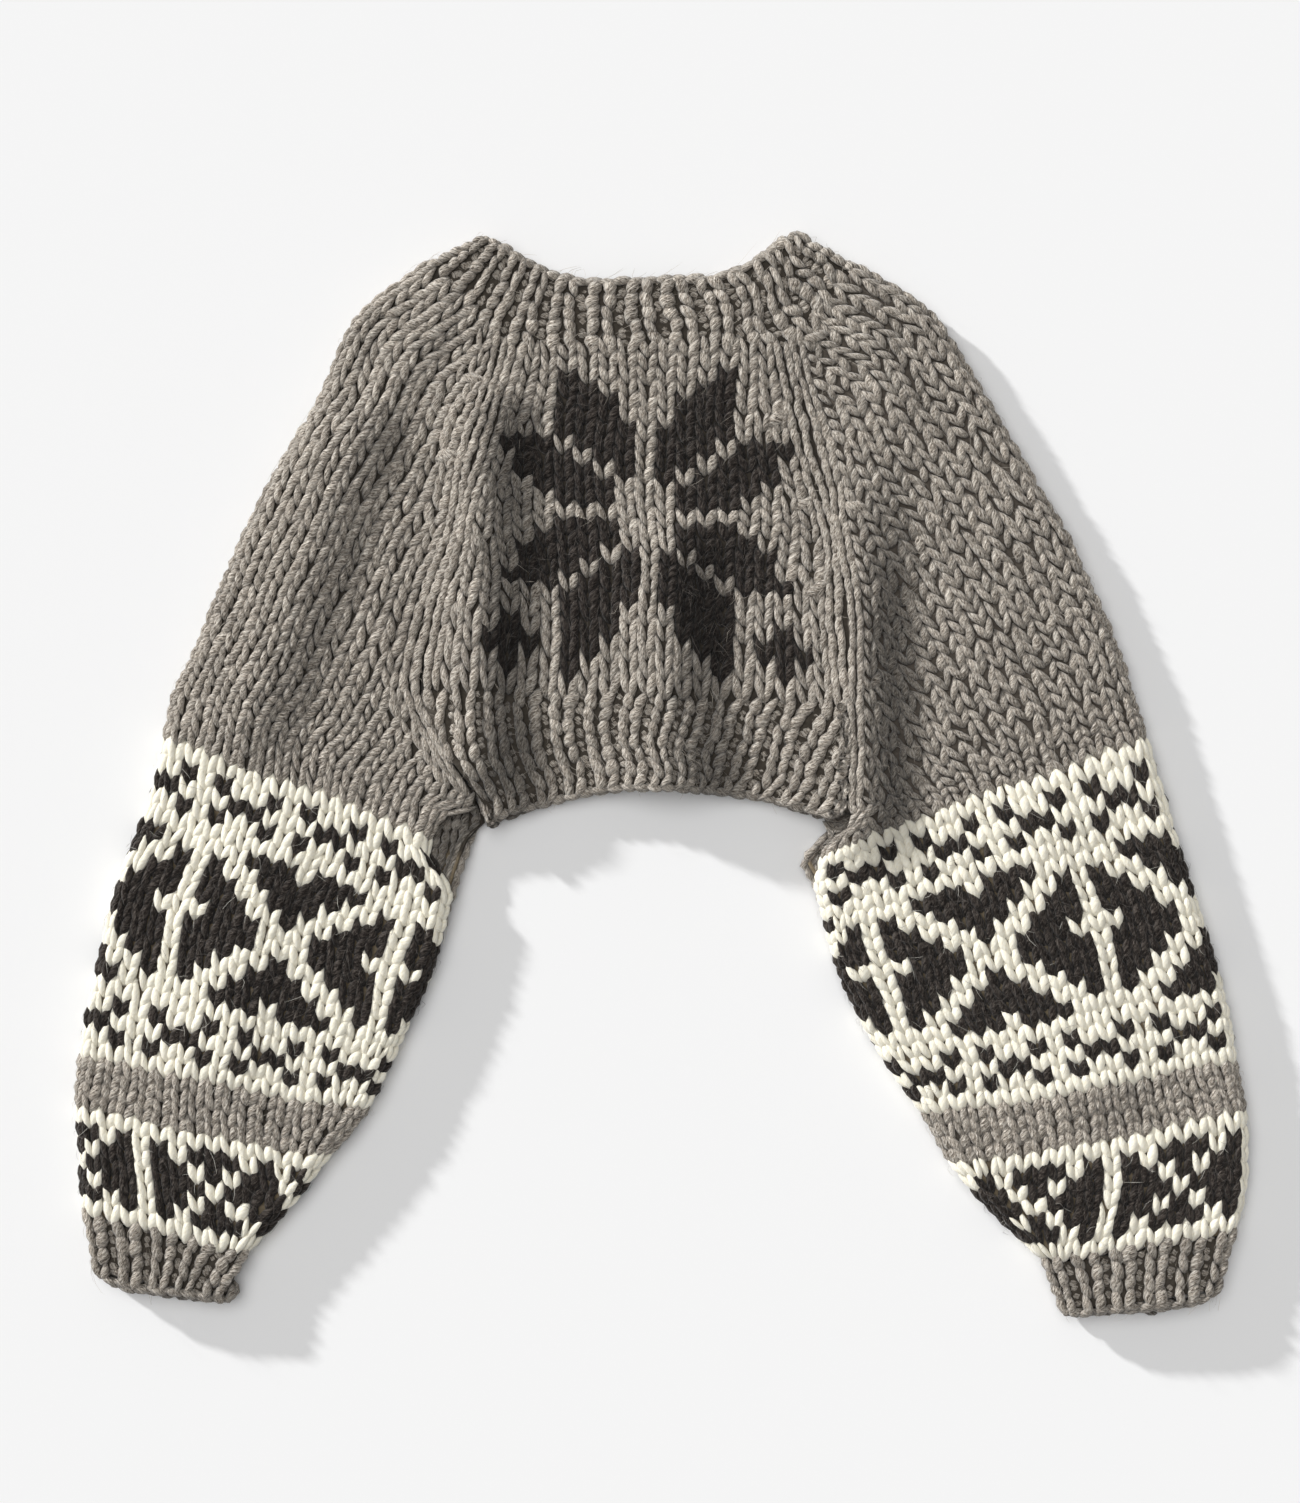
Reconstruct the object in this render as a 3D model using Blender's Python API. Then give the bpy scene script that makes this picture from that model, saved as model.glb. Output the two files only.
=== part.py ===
"""Knit bolero laid flat: a cropped raglan pullover in chunky wool, its panels lying on each other.

Every piece is a wall of knitting. A row of a piece runs in plan from one edge to the other, and the
cloth on it is an upper layer, an under layer that rests on the floor, and a round fold where the two
meet. Rows lofted one after another make a sleeve, a cuff, a rib or a panel.

Metres, +Z up. The origin is below the middle of the garment, on the floor. -Y is towards the hem.
"""

import math
from collections import namedtuple

import bpy
import bmesh
import numpy as np

MM = 0.001

# Cloth
WALL = 10.0 * MM  # one layer of this knit
LAYER_GAP = 1.8 * MM  # between the layers where they lie flat
SEAM_GAP = 0.5 * MM  # between neighbouring pieces
FOLD_REACH = 12.0 * MM  # how far in from a fold its round goes
SLOT = 0.5 * MM  # between the two edges that meet under the arm
BOTTOM_RIM = 4.0 * MM  # how far the under layer shows past the upper one at a cuff

# The middle of the garment's outline, in the coordinates of the tables below
MIDDLE_X = 0.734 * MM
MIDDLE_Y = 1.469 * MM

# Rise of the cloth
CREST_START = 2.0 * MM  # a fold higher than this also lifts the under layer
UNDER_SHARE = 0.55  # share of the rest that the under layer lifts off the floor
UNDER_THICKER = 0.18  # share that the under wall gains
UPPER_THICKER = 0.27  # share that the upper wall gains
SLEEVE_CROWN = 2.0 * MM  # how much the middle of a sleeve puffs up
CROWN_RUN = 90.0 * MM  # length over which that crown starts and ends

# Rows and columns of the lofts
FLAT_STEPS = 7
LONG_STEPS = 17  # on the ribs
SLEEVE_PITCH = 32.0 * MM
PANEL_ROWS = 9
FOLD_TURNS = (0.0, 0.5, 0.866, 1.0)

# A sleeve's rows, in millimetres: the outer fold and the inner end of each, from neck rib to cuff
Row = namedtuple("Row", "fold_x fold_y inner_x inner_y")
LEFT_ROWS = (
    Row(-162, 349, -105, 291),
    Row(-209, 311, -115, 248),
    Row(-236, 253, -129, 201),
    Row(-271, 194, -142, 152),
    Row(-296, 141, -156, 104),
    Row(-307, 115, -165, 56),  # the underarm
    Row(-321, 80, -148, 12),
    Row(-335, 50, -120, -35),
    Row(-339, 32, -127, -49),
    Row(-347, -8, -139, -83),
    Row(-371, -73, -155, -137),
    Row(-386, -133, -176, -184),
    Row(-398, -195, -199, -231),
    Row(-400, -229, -224, -263),
    Row(-397, -267, -252, -297),
    Row(-396, -299, -280, -328),
)
RIGHT_ROWS = (
    Row(135, 348, 88, 291),
    Row(186, 314, 99, 245),
    Row(218, 265, 109, 198),
    Row(251, 210, 119, 152),
    Row(281, 158, 124, 104),
    Row(303, 109, 126, 46),  # the underarm
    Row(316, 77, 127, 5),
    Row(326, 46, 119, -33),
    Row(331, 29, 95, -57),
    Row(342, -6, 103, -79),
    Row(358, -61, 114, -120),
    Row(376, -119, 132, -165),
    Row(390, -171, 160, -211),
    Row(394, -198, 177, -235),
    Row(400, -232, 197, -269),
    Row(401, -267, 220, -296),
    Row(394, -312, 258, -333),
)
UNDERARM_ROW = 5
CLOSED_ROW = 7  # from here on the sleeve is a closed tube
LEFT_CUFF = (Row(-396, -301, -280, -330), Row(-388, -338, -289, -358))
RIGHT_CUFF = (Row(394, -314, 258, -335), Row(382, -352, 270, -367))

# The neck rib's columns, in millimetres: cast-off edge and seam, from left shoulder to right
Column = namedtuple("Column", "edge_x edge_y seam_x seam_y")
NECK_COLUMNS = (
    Column(-121, 368, -162, 349),
    Column(-112, 360, -147, 334),
    Column(-104, 355, -133, 320),
    Column(-92, 348, -118, 305),
    Column(-82, 343, -105, 291),
    Column(-58, 337, -77, 291),
    Column(-33, 336, -41, 291),
    Column(-11, 336, -9, 291),
    Column(13, 336, 25, 291),
    Column(35, 337, 59, 291),
    Column(54, 342, 88, 291),
    Column(65, 348, 100, 305),
    Column(78, 357, 117, 326),
    Column(95, 371, 135, 348),
)
BACK_COLUMNS = (4, 10)  # the columns that stand on the back panel
FRONT_DIP = 24.0 * MM  # how much lower the neck lies in front
NECK_SECTIONS = 3
NECK_SPLITS = 4  # points of the rib's path for each column
NECK_MARK_STEP = 2  # every how many of those points the loft uses one

# The hem rib, in millimetres: its ends at the seam, half way and at the edge, and its rise in the middle
End = namedtuple("End", "left_x left_y right_x right_y")
HEM_ENDS = (End(-165, 56, 126, 46), End(-148, 12, 125, 4), End(-126, -27, 111, -39))
HEM_ARCH = 24.0 * MM
HEM_FRONT_SHORTER = 4.0 * MM
HEM_SIDE_GAP = 1.8 * MM  # between its sides and the sleeves
HEM_SECTIONS = 5
HEM_POINTS = 16

# The largest folds, in millimetres: a crest from one end to the other, its height, and how far its
# slopes reach to its left and to its right, looking from the first end to the second, so that the
# left of a crest that runs towards the hem is +X
Fold = namedtuple("Fold", "name x0 y0 x1 y1 height left right")
FOLDS = (
    Fold("left raglan ridge", -130, 215, -154, 0, 11.0, 56, 44),
    Fold("left body lip", -84, 165, -76, -20, 5.0, 66, 12),
    Fold("body middle bulge", 70, 170, 78, -20, 5.0, 36, 34),
    Fold("right raglan ridge", 112, 225, 134, -10, 11.0, 44, 40),
    Fold("right sleeve lip", 180, 180, 176, -30, 6.0, 70, 12),
    Fold("left shoulder roll", -150, 320, -205, 225, 2.5, 24, 24),
    Fold("right shoulder roll", 128, 320, 172, 235, 2.5, 24, 24),
    Fold("left forearm swell", -270, -40, -310, -215, 3.5, 55, 60),
    Fold("right forearm swell", 245, -20, 300, -225, 3.5, 60, 60),
)
FOLD_END = 45.0 * MM  # length over which a fold fades at each end

Layers = namedtuple("Layers", "upper upper_back under under_back")


def smooth_step(value):
    """0 below 0, 1 above 1 and a soft S between."""
    t = min(max(value, 0.0), 1.0)
    return t * t * (3.0 - 2.0 * t)


def fold_height(fold, x, y):
    """Height that one fold adds at a point of the plan."""
    start = np.array((fold.x0, fold.y0)) * MM
    run = np.array((fold.x1, fold.y1)) * MM - start
    length = float(np.hypot(*run))
    along_dir = run / length
    offset = np.array((x, y)) - start
    along = float(offset @ along_dir)
    # Positive to the left of the crest, looking along it
    aside = float(along_dir[0] * offset[1] - along_dir[1] * offset[0])
    reach = (fold.left if aside > 0 else fold.right) * MM
    across = max(0.0, 1.0 - abs(aside) / reach)
    fade = smooth_step(along / FOLD_END + 0.5) * smooth_step((length - along) / FOLD_END + 0.5)
    return fold.height * MM * smooth_step(across) * fade


def lift(x, y):
    """Height that all the folds together add at a point of the plan."""
    return sum(fold_height(fold, x, y) for fold in FOLDS)


def heights(x, y, crown):
    """Under face, under wall's top, upper wall's under face and upper face at a point of the plan."""
    added = lift(x, y) + crown
    extra = max(added - CREST_START, 0.0)
    bottom = UNDER_SHARE * extra
    top = 2 * WALL + LAYER_GAP + added
    return bottom, bottom + WALL + UNDER_THICKER * extra, top - WALL - UPPER_THICKER * extra, top


class Path:
    """A row of cloth in plan: straight lines between its points, measured by length."""

    def __init__(self, points):
        self.points = np.array(points, float)
        steps = np.linalg.norm(np.diff(self.points, axis=0), axis=1)
        self.at = np.concatenate([[0.0], np.cumsum(steps)])
        self.length = float(self.at[-1])

    def point(self, distance):
        """The point this far along."""
        return np.array([np.interp(distance, self.at, self.points[:, k]) for k in (0, 1)])

    def heading(self, distance):
        """The direction of the path this far along, taken over a short stretch."""
        half = 0.02 * self.length
        step = self.point(min(distance + half, self.length)) - self.point(max(distance - half, 0.0))
        return step / np.linalg.norm(step)


def row_layers(upper_path, under_path, close_start, close_end, crown=0.0, marks=FLAT_STEPS):
    """The cloth of one row: points of its upper and under faces, from the row's start to its end.

    close_start and close_end go from 0, where the row ends at a seam with an upright edge, to 1,
    where its two layers meet in a round fold. marks is the number of even steps between the folds,
    or the numbers of the path's own points to use there.
    """
    found = Layers([], [], [], [])
    for path, is_upper in ((upper_path, True), (under_path, False)):
        reach = min(FOLD_REACH, 0.3 * path.length)
        stops = [(reach * (1.0 - turn), turn, close_start, 1.0) for turn in reversed(FOLD_TURNS)]
        if isinstance(marks, int):
            middle = np.linspace(reach, path.length - reach, marks + 1)[1:-1]
        else:
            middle = path.at[list(marks)]
        stops += [(float(distance), 0.0, 0.0, 0.0) for distance in middle]
        stops += [(path.length - reach * (1.0 - turn), turn, close_end, -1.0) for turn in FOLD_TURNS]
        for distance, turn, close, inward in stops:
            x, y = path.point(distance)
            puff = crown * math.sin(math.pi * distance / path.length) ** 2
            bottom, bottom_top, top_bottom, top = heights(x, y, puff)
            middle_z = (bottom_top + top_bottom) / 2
            share = (1.0 - close) + close * math.sqrt(max(0.0, 1.0 - turn * turn))
            heading = path.heading(distance) * inward * turn * close
            way = np.array((heading[0], heading[1], -share if is_upper else share))
            way /= np.linalg.norm(way)
            if is_upper:
                edge_z = middle_z + SLOT / 2
                face = np.array((x, y, edge_z + (top - edge_z) * share))
                back = face + way * (top - top_bottom)
                back[2] = max(back[2], edge_z)
                found.upper.append(face)
                found.upper_back.append(back)
            else:
                edge_z = middle_z - SLOT / 2
                face = np.array((x, y, edge_z - (edge_z - bottom) * share))
                back = face + way * (bottom_top - bottom)
                back[2] = min(back[2], edge_z)
                found.under.append(face)
                found.under_back.append(back)
    return found


def smooth_rows(rows, counts):
    """Rows read from a smooth curve through the given ones, at even steps along their mean length.

    counts holds a (row, steps) pair for each stretch: the given row it ends at, and its even steps.
    """
    values = np.array(rows, float) * MM
    steps = np.linalg.norm(np.diff(values.reshape(-1, 2, 2), axis=0), axis=2).mean(axis=1)
    at = np.concatenate([[0.0], np.cumsum(steps)])
    slopes = np.gradient(values, at, axis=0)

    def read(s):
        k = int(np.clip(np.searchsorted(at, s) - 1, 0, len(at) - 2))
        width = at[k + 1] - at[k]
        t = (s - at[k]) / width
        return (
            (2 * t**3 - 3 * t**2 + 1) * values[k]
            + (t**3 - 2 * t**2 + t) * width * slopes[k]
            + (3 * t**2 - 2 * t**3) * values[k + 1]
            + (t**3 - t**2) * width * slopes[k + 1]
        )

    found = []
    knots = [0] + [row for row, _ in counts]
    for first, (last, number) in zip(knots, counts):
        stretch = np.linspace(at[first], at[last], number + 1)[:-1]
        found += [(s, read(s)) for s in stretch]
    found.append((at[-1], read(at[-1])))
    return at, found


def make_object(name, vertices, faces, colour):
    """An object with its own matt wool material, closed and with its faces outwards."""
    mesh = bpy.data.meshes.new(name)
    mesh.from_pydata([tuple(v) for v in vertices], [], faces)
    work = bmesh.new()
    work.from_mesh(mesh)
    bmesh.ops.recalc_face_normals(work, faces=work.faces)
    work.to_mesh(mesh)
    work.free()
    mesh.shade_smooth()
    mesh.set_sharp_from_angle(angle=math.radians(50))
    material = bpy.data.materials.new(name)
    material.use_nodes = True
    shader = material.node_tree.nodes["Principled BSDF"]
    shader.inputs["Base Color"].default_value = colour
    shader.inputs["Roughness"].default_value = 0.95
    shader.inputs["Metallic"].default_value = 0.0
    mesh.materials.append(material)
    made = bpy.data.objects.new(name, mesh)
    bpy.data.collections["knit_bolero"].objects.link(made)
    return made


def loft(name, faces_out, faces_in, round_row, colour):
    """A wall between two grids of points, one row per section. round_row joins each row's ends."""
    outer = np.array(faces_out) - (MIDDLE_X, MIDDLE_Y, 0.0)
    inner = np.array(faces_in) - (MIDDLE_X, MIDDLE_Y, 0.0)
    rows, columns = outer.shape[:2]
    vertices = list(outer.reshape(-1, 3)) + list(inner.reshape(-1, 3))
    shift = rows * columns

    def at(row, column, side):
        return side * shift + row * columns + column % columns

    faces = []
    last = columns if round_row else columns - 1
    for i in range(rows - 1):
        for j in range(last):
            ring = ((i, j), (i, j + 1), (i + 1, j + 1), (i + 1, j))
            faces.append([at(row, column, 0) for row, column in ring])
            faces.append([at(row, column, 1) for row, column in reversed(ring)])
    for j in range(last):
        for i in (0, rows - 1):
            faces.append([at(i, j, 0), at(i, j + 1, 0), at(i, j + 1, 1), at(i, j, 1)])
    if not round_row:
        for i in range(rows - 1):
            for j in (0, columns - 1):
                faces.append([at(i, j, 0), at(i + 1, j, 0), at(i + 1, j, 1), at(i, j, 1)])
    return make_object(name, vertices, faces, colour)


def around(layers):
    """One row of an open tube: from the inner seam over the top, round the fold and back below."""
    outer = layers.upper[::-1] + layers.under[1:]
    inner = layers.upper_back[::-1] + layers.under_back[1:]
    # The fold's own point lies half way between the layers
    fold = len(layers.upper) - 1
    outer[fold] = (layers.upper[0] + layers.under[0]) / 2
    inner[fold] = (layers.upper_back[0] + layers.under_back[0]) / 2
    return outer, inner


def ring(layers):
    """One row of a closed tube, with a fold at each end."""
    outer, inner = around(layers)
    outer[0] = (layers.upper[-1] + layers.under[-1]) / 2
    inner[0] = (layers.upper_back[-1] + layers.under_back[-1]) / 2
    return outer[:-1], inner[:-1]


def trimmed(row, start_gap, end_gap):
    """The row's two ends moved in by the gaps."""
    first, last = np.array(row[:2]), np.array(row[2:])
    way = (last - first) / np.linalg.norm(last - first)
    return first + way * start_gap, last - way * end_gap


def sleeve_crown(s, length):
    """How much a sleeve puffs up at this distance from its seam with the neck rib."""
    return SLEEVE_CROWN * smooth_step(s / CROWN_RUN) * smooth_step((length - s) / CROWN_RUN)


def raglan_steps():
    """How many steps the sleeves and the panels all take along a raglan line."""
    return PANEL_ROWS - 1


def sleeve(name, rows, colour):
    """One sleeve: open along the raglan lines, then a tube whose edges meet under the arm."""
    at, _ = smooth_rows(rows, ((len(rows) - 1, 1),))
    below = int(round((at[-1] - at[CLOSED_ROW]) / SLEEVE_PITCH))
    counts = ((UNDERARM_ROW, raglan_steps()), (CLOSED_ROW, 3), (len(rows) - 1, below))
    _, stations = smooth_rows(rows, counts)
    outer, inner = [], []
    for index, (s, row) in enumerate(stations):
        close = smooth_step((s - at[UNDERARM_ROW]) / (at[CLOSED_ROW] - at[UNDERARM_ROW]))
        first, last = trimmed(row, 0.0, SEAM_GAP)
        if index == 0:
            # The first row stands clear of the neck rib
            first[1] -= SEAM_GAP
            last[1] -= SEAM_GAP
        path = Path((first, last))
        out, back = around(row_layers(path, path, 1.0, close, sleeve_crown(s, at[-1])))
        outer.append(out)
        inner.append(back)
    return loft(name, outer, inner, False, colour)


def cuff(name, ends, colour):
    """One cuff: a closed band of rib, its under layer a little longer than its upper one."""
    outer, inner = [], []
    start, end = (np.array(row, float) * MM for row in ends)
    for t in (0.0, 0.5, 1.0):
        row = start + (end - start) * t
        first, last = row[:2], row[2:]
        path = Path((first, last))
        way = (end - start).reshape(2, 2).mean(axis=0)
        way /= np.linalg.norm(way)
        layers = row_layers(path, path, 1.0, 1.0)
        count = len(layers.under)
        for k in range(count):
            shift = way * BOTTOM_RIM * t * math.sin(math.pi * k / (count - 1))
            layers.under[k][:2] += shift
            layers.under_back[k][:2] += shift
        out, back = ring(layers)
        outer.append(out)
        inner.append(back)
    return loft(name, outer, inner, True, colour)


def front_dip(x, share):
    """How far the front neck lies below the back one at this x. share goes from seam 1 to none 0."""
    left, right = (NECK_COLUMNS[k].seam_x * MM for k in BACK_COLUMNS)
    t = min(max((x - left) / (right - left), 0.0), 1.0)
    return FRONT_DIP * share * math.sin(math.pi * t) ** 2


def neck_rib(colour):
    """The rib round the neck, from its cast-off edge to its seam with the panels and the sleeves."""
    knots = np.array(NECK_COLUMNS, float) * MM
    fine = np.linspace(0.0, len(knots) - 1.0, NECK_SPLITS * (len(knots) - 1) + 1)
    columns = np.stack([np.interp(fine, range(len(knots)), knots[:, k]) for k in range(4)], axis=1)
    dips = np.array([front_dip(column[2], 1.0) for column in columns])
    marks = range(2 * NECK_SPLITS, len(columns) - 2 * NECK_SPLITS, NECK_MARK_STEP)
    outer, inner = [], []
    for t in np.linspace(0.0, 1.0, NECK_SECTIONS):
        points = columns[:, :2] * (1.0 - t) + columns[:, 2:] * t
        points[:, 1] += SEAM_GAP * t
        below = points.copy()
        below[:, 1] -= dips
        layers = row_layers(Path(points), Path(below), 1.0, 1.0, marks=marks)
        out, back = ring(layers)
        outer.append(out)
        inner.append(back)
    return loft("neck_rib", outer, inner, True, colour)


def hem_rib(colour):
    """The rib below the back and the front, arched up in the middle of its cast-off edge."""
    _, stations = smooth_rows(HEM_ENDS, ((len(HEM_ENDS) - 1, HEM_SECTIONS - 1),))
    outer, inner = [], []
    for index, (_, row) in enumerate(stations):
        t = index / (HEM_SECTIONS - 1)
        first, last = trimmed(row, HEM_SIDE_GAP, HEM_SIDE_GAP)
        upper, under = [], []
        for u in np.linspace(0.0, 1.0, HEM_POINTS):
            x, y = first + (last - first) * u
            y -= SEAM_GAP * (1.0 - t)
            arch = math.sin(math.pi * u) * t
            upper.append((x, y + HEM_ARCH * arch))
            under.append((x, y + (HEM_ARCH + HEM_FRONT_SHORTER) * arch))
        layers = row_layers(Path(upper), Path(under), 1.0, 1.0, marks=LONG_STEPS)
        out, back = ring(layers)
        outer.append(out)
        inner.append(back)
    return loft("hem_rib", outer, inner, True, colour)


def raglan_points(rows):
    """The inner ends of a sleeve's rows along its raglan line, in even steps."""
    _, stations = smooth_rows(rows, ((UNDERARM_ROW, raglan_steps()), (len(rows) - 1, 1)))
    return [row[2:] for _, row in stations[:PANEL_ROWS]]


def panel(name, is_back, colour):
    """The back or the front, between the two raglan lines, the neck rib and the hem rib."""
    outer, inner = [], []
    pairs = list(zip(raglan_points(LEFT_ROWS), raglan_points(RIGHT_ROWS)))
    for index, (left, right) in enumerate(pairs):
        t = index / (len(pairs) - 1)
        first, last = trimmed((*left, *right), SEAM_GAP, SEAM_GAP)
        points = []
        for u in np.linspace(0.0, 1.0, HEM_POINTS):
            x, y = first + (last - first) * u
            y -= SEAM_GAP if index == 0 else 0.0
            points.append((x, y if is_back else y - front_dip(x, (1.0 - t) ** 2)))
        path = Path(points)
        layers = row_layers(path, path, 0.0, 0.0, marks=11)
        outer.append(layers.upper if is_back else layers.under)
        inner.append(layers.upper_back if is_back else layers.under_back)
    return loft(name, outer, inner, False, colour)


def main():
    for old in list(bpy.data.objects):
        bpy.data.objects.remove(old, do_unlink=True)
    collection = bpy.data.collections.new("knit_bolero")
    bpy.context.scene.collection.children.link(collection)
    grey = (0.22, 0.19, 0.16, 1.0)
    darker = (0.19, 0.165, 0.14, 1.0)
    panel("back_panel", True, grey)
    panel("front_panel", False, grey)
    sleeve("sleeve_left", LEFT_ROWS, grey)
    sleeve("sleeve_right", RIGHT_ROWS, grey)
    neck_rib(darker)
    hem_rib(darker)
    cuff("cuff_left", LEFT_CUFF, darker)
    cuff("cuff_right", RIGHT_CUFF, darker)


main()
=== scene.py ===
"""Looks of the knit bolero: a cropped raglan pullover in chunky wool, laid flat with its back up.

Every piece of the garment is worked as it was knitted. A thin shell of cloth, darkened with painted shade of
the gaps between the stitches, follows the form of its solid, and on it lies each stitch as two plump legs of
plied yarn, placed by row and by wale and bent with the cloth. The patterned bands are charted one letter a
stitch.

Metres, +Z up. -Y is towards the hem.
"""

import logging
import math
from dataclasses import dataclass, field
from enum import Enum
from functools import cache
from typing import Union

import bmesh
import bpy
import numpy as np
from mathutils import Matrix, Vector


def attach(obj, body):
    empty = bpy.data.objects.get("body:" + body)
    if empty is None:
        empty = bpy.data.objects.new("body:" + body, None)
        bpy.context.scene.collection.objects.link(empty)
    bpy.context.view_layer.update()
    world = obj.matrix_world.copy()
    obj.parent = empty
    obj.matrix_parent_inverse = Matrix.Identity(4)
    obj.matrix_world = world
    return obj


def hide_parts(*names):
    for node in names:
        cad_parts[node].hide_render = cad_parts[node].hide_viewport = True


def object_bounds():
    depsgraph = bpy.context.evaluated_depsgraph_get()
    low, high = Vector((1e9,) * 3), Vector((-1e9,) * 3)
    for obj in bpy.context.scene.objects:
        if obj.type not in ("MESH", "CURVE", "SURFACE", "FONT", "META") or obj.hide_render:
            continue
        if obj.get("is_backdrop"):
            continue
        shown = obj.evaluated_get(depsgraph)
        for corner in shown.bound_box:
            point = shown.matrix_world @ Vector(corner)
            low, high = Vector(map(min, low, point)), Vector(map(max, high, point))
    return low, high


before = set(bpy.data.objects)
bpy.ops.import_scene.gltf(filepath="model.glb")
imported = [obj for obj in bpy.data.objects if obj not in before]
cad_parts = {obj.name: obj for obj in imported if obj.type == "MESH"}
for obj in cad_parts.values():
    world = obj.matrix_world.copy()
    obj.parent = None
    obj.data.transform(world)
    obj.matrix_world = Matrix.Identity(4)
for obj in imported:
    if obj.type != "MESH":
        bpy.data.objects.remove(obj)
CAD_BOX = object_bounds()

log = logging.getLogger("bolero")

Pair = tuple[float, float]
Colour = tuple[float, float, float]
Socket = bpy.types.NodeSocket
Value = Union[Socket, float, tuple[float, ...]]
Inputs = dict[Union[str, int], Value]

MM = 0.001
FLOOR_GAP = 0.2  # between the floor and the lowest wool, in millimetres

# The middle of the garment's outline, in the coordinates of the tables below, in millimetres
MIDDLE = (0.734, 1.469)

# A sleeve's rows, in millimetres: the outer fold and the inner end of each, from neck rib to cuff
LEFT_ROWS = (
    (-162, 349, -105, 291),
    (-209, 311, -115, 248),
    (-236, 253, -129, 201),
    (-271, 194, -142, 152),
    (-296, 141, -156, 104),
    (-307, 115, -165, 56),  # the underarm
    (-321, 80, -148, 12),
    (-335, 50, -120, -35),
    (-339, 32, -127, -49),
    (-347, -8, -139, -83),
    (-371, -73, -155, -137),
    (-386, -133, -176, -184),
    (-398, -195, -199, -231),
    (-400, -229, -224, -263),
    (-397, -267, -252, -297),
    (-396, -299, -280, -328),
)
RIGHT_ROWS = (
    (135, 348, 88, 291),
    (186, 314, 99, 245),
    (218, 265, 109, 198),
    (251, 210, 119, 152),
    (281, 158, 124, 104),
    (303, 109, 126, 46),  # the underarm
    (316, 77, 127, 5),
    (326, 46, 119, -33),
    (331, 29, 95, -57),
    (342, -6, 103, -79),
    (358, -61, 114, -120),
    (376, -119, 132, -165),
    (390, -171, 160, -211),
    (394, -198, 177, -235),
    (400, -232, 197, -269),
    (401, -267, 220, -296),
    (394, -312, 258, -333),
)
LEFT_CUFF = ((-396, -301, -280, -330), (-388, -338, -289, -358))
RIGHT_CUFF = ((394, -314, 258, -335), (382, -352, 270, -367))
UNDERARM_ROW = 5  # where the raglan lines end and the hem rib starts
CLOSED_ROW = 7  # where the hem rib ends and the sleeve is a closed tube

# The neck rib's columns: cast-off edge and seam, from left shoulder to right
NECK_COLUMNS = (
    (-121, 368, -162, 349),
    (-112, 360, -147, 334),
    (-104, 355, -133, 320),
    (-92, 348, -118, 305),
    (-82, 343, -105, 291),
    (-58, 337, -77, 291),
    (-33, 336, -41, 291),
    (-11, 336, -9, 291),
    (13, 336, 25, 291),
    (35, 337, 59, 291),
    (54, 342, 88, 291),
    (65, 348, 100, 305),
    (78, 357, 117, 326),
    (95, 371, 135, 348),
)
BACK_COLUMNS = (4, 10)  # the ones above the back's two corners

# The hem rib hangs between the sleeves and stays this far clear of each, in millimetres
HEM_LENGTH = 84.0
HEM_CLEARANCE = 2.5

# Where a rib's columns run: the share of the width that each starts at and ends at
STRAIGHT_FAN = ((-0.3, -0.3), (1.3, 1.3))
HEM_FAN = ((-0.3, -0.4), (0.0, -0.1), (0.25, 0.16), (0.5, 0.42), (0.75, 0.635), (1.0, 0.87), (1.3, 1.15))
NECK_FAN = (
    *((-0.3, -0.3), (0.0, 0.0), (0.13, 0.095), (0.277, 0.222), (0.338, 0.282), (0.417, 0.385)),
    *((0.509, 0.504), (0.643, 0.675), (0.85, 0.868), (1.0, 1.0), (1.3, 1.3)),
)
CUFF_FAN = ((-0.3, -0.3), (0.3, 0.3), (0.55, 0.51), (0.78, 0.67), (1.0, 0.89), (1.3, 1.2))


def smooth(value: np.ndarray | float) -> np.ndarray | float:
    """0 below 0, 1 above 1 and a soft S between."""
    t = np.clip(value, 0.0, 1.0)
    return t * t * (3.0 - 2.0 * t)


@dataclass(frozen=True)
class Fold:
    """One of the large folds: a crest from one end to the other, in millimetres.

    left and right are how far its slopes reach, looking from the first end to the second.
    """

    x0: float
    y0: float
    x1: float
    y1: float
    height: float
    left: float
    right: float
    fade: float = 45.0  # over which both ends rise and fall
    slow_start: float = 0.0  # how much longer its first end takes to rise

    def rise(self, x: np.ndarray, y: np.ndarray) -> np.ndarray:
        """Height that this fold adds at points of the plan.

        Args:
            x, y: places in the plan, in millimetres.

        Returns:
            The added heights, in millimetres.
        """
        run = np.array((self.x1 - self.x0, self.y1 - self.y0), float)
        length = float(np.hypot(*run))
        run /= length
        along = (x - self.x0) * run[0] + (y - self.y0) * run[1]
        aside = run[0] * (y - self.y0) - run[1] * (x - self.x0)
        reach = np.where(aside > 0, self.left, self.right)
        begun = smooth(along / (self.fade + self.slow_start) + 0.5)
        ended = smooth((length - along) / self.fade + 0.5)
        return self.height * smooth(1.0 - np.abs(aside) / reach) * (begun * ended)


FOLDS = (
    Fold(-124, 262, -130, -8, 14.5, 46, 40),  # left raglan ridge
    Fold(0, 165, 2, -44, 14.0, 52, 46),  # body middle bulge
    Fold(-80, 20, -80, -60, -6.0, 64, 27),  # hem's hollow left of the bulge
    Fold(62, 20, 66, -60, -4.5, 32, 32),  # hem's hollow right of the bulge
    Fold(130, 188, 135, -50, 15.5, 44, 40, slow_start=140.0),  # right raglan ridge
    Fold(-204, 250, -290, 18, 8.2, 46, 50),  # left sleeve swell
    Fold(-150, 320, -205, 225, 2.5, 24, 24),  # left shoulder roll
    Fold(128, 320, 172, 235, 2.5, 24, 24),  # right shoulder roll
    Fold(-270, -40, -310, -215, 3.5, 55, 60),  # left forearm swell
    Fold(245, -20, 300, -225, 3.5, 60, 60),  # right forearm swell
)


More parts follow.
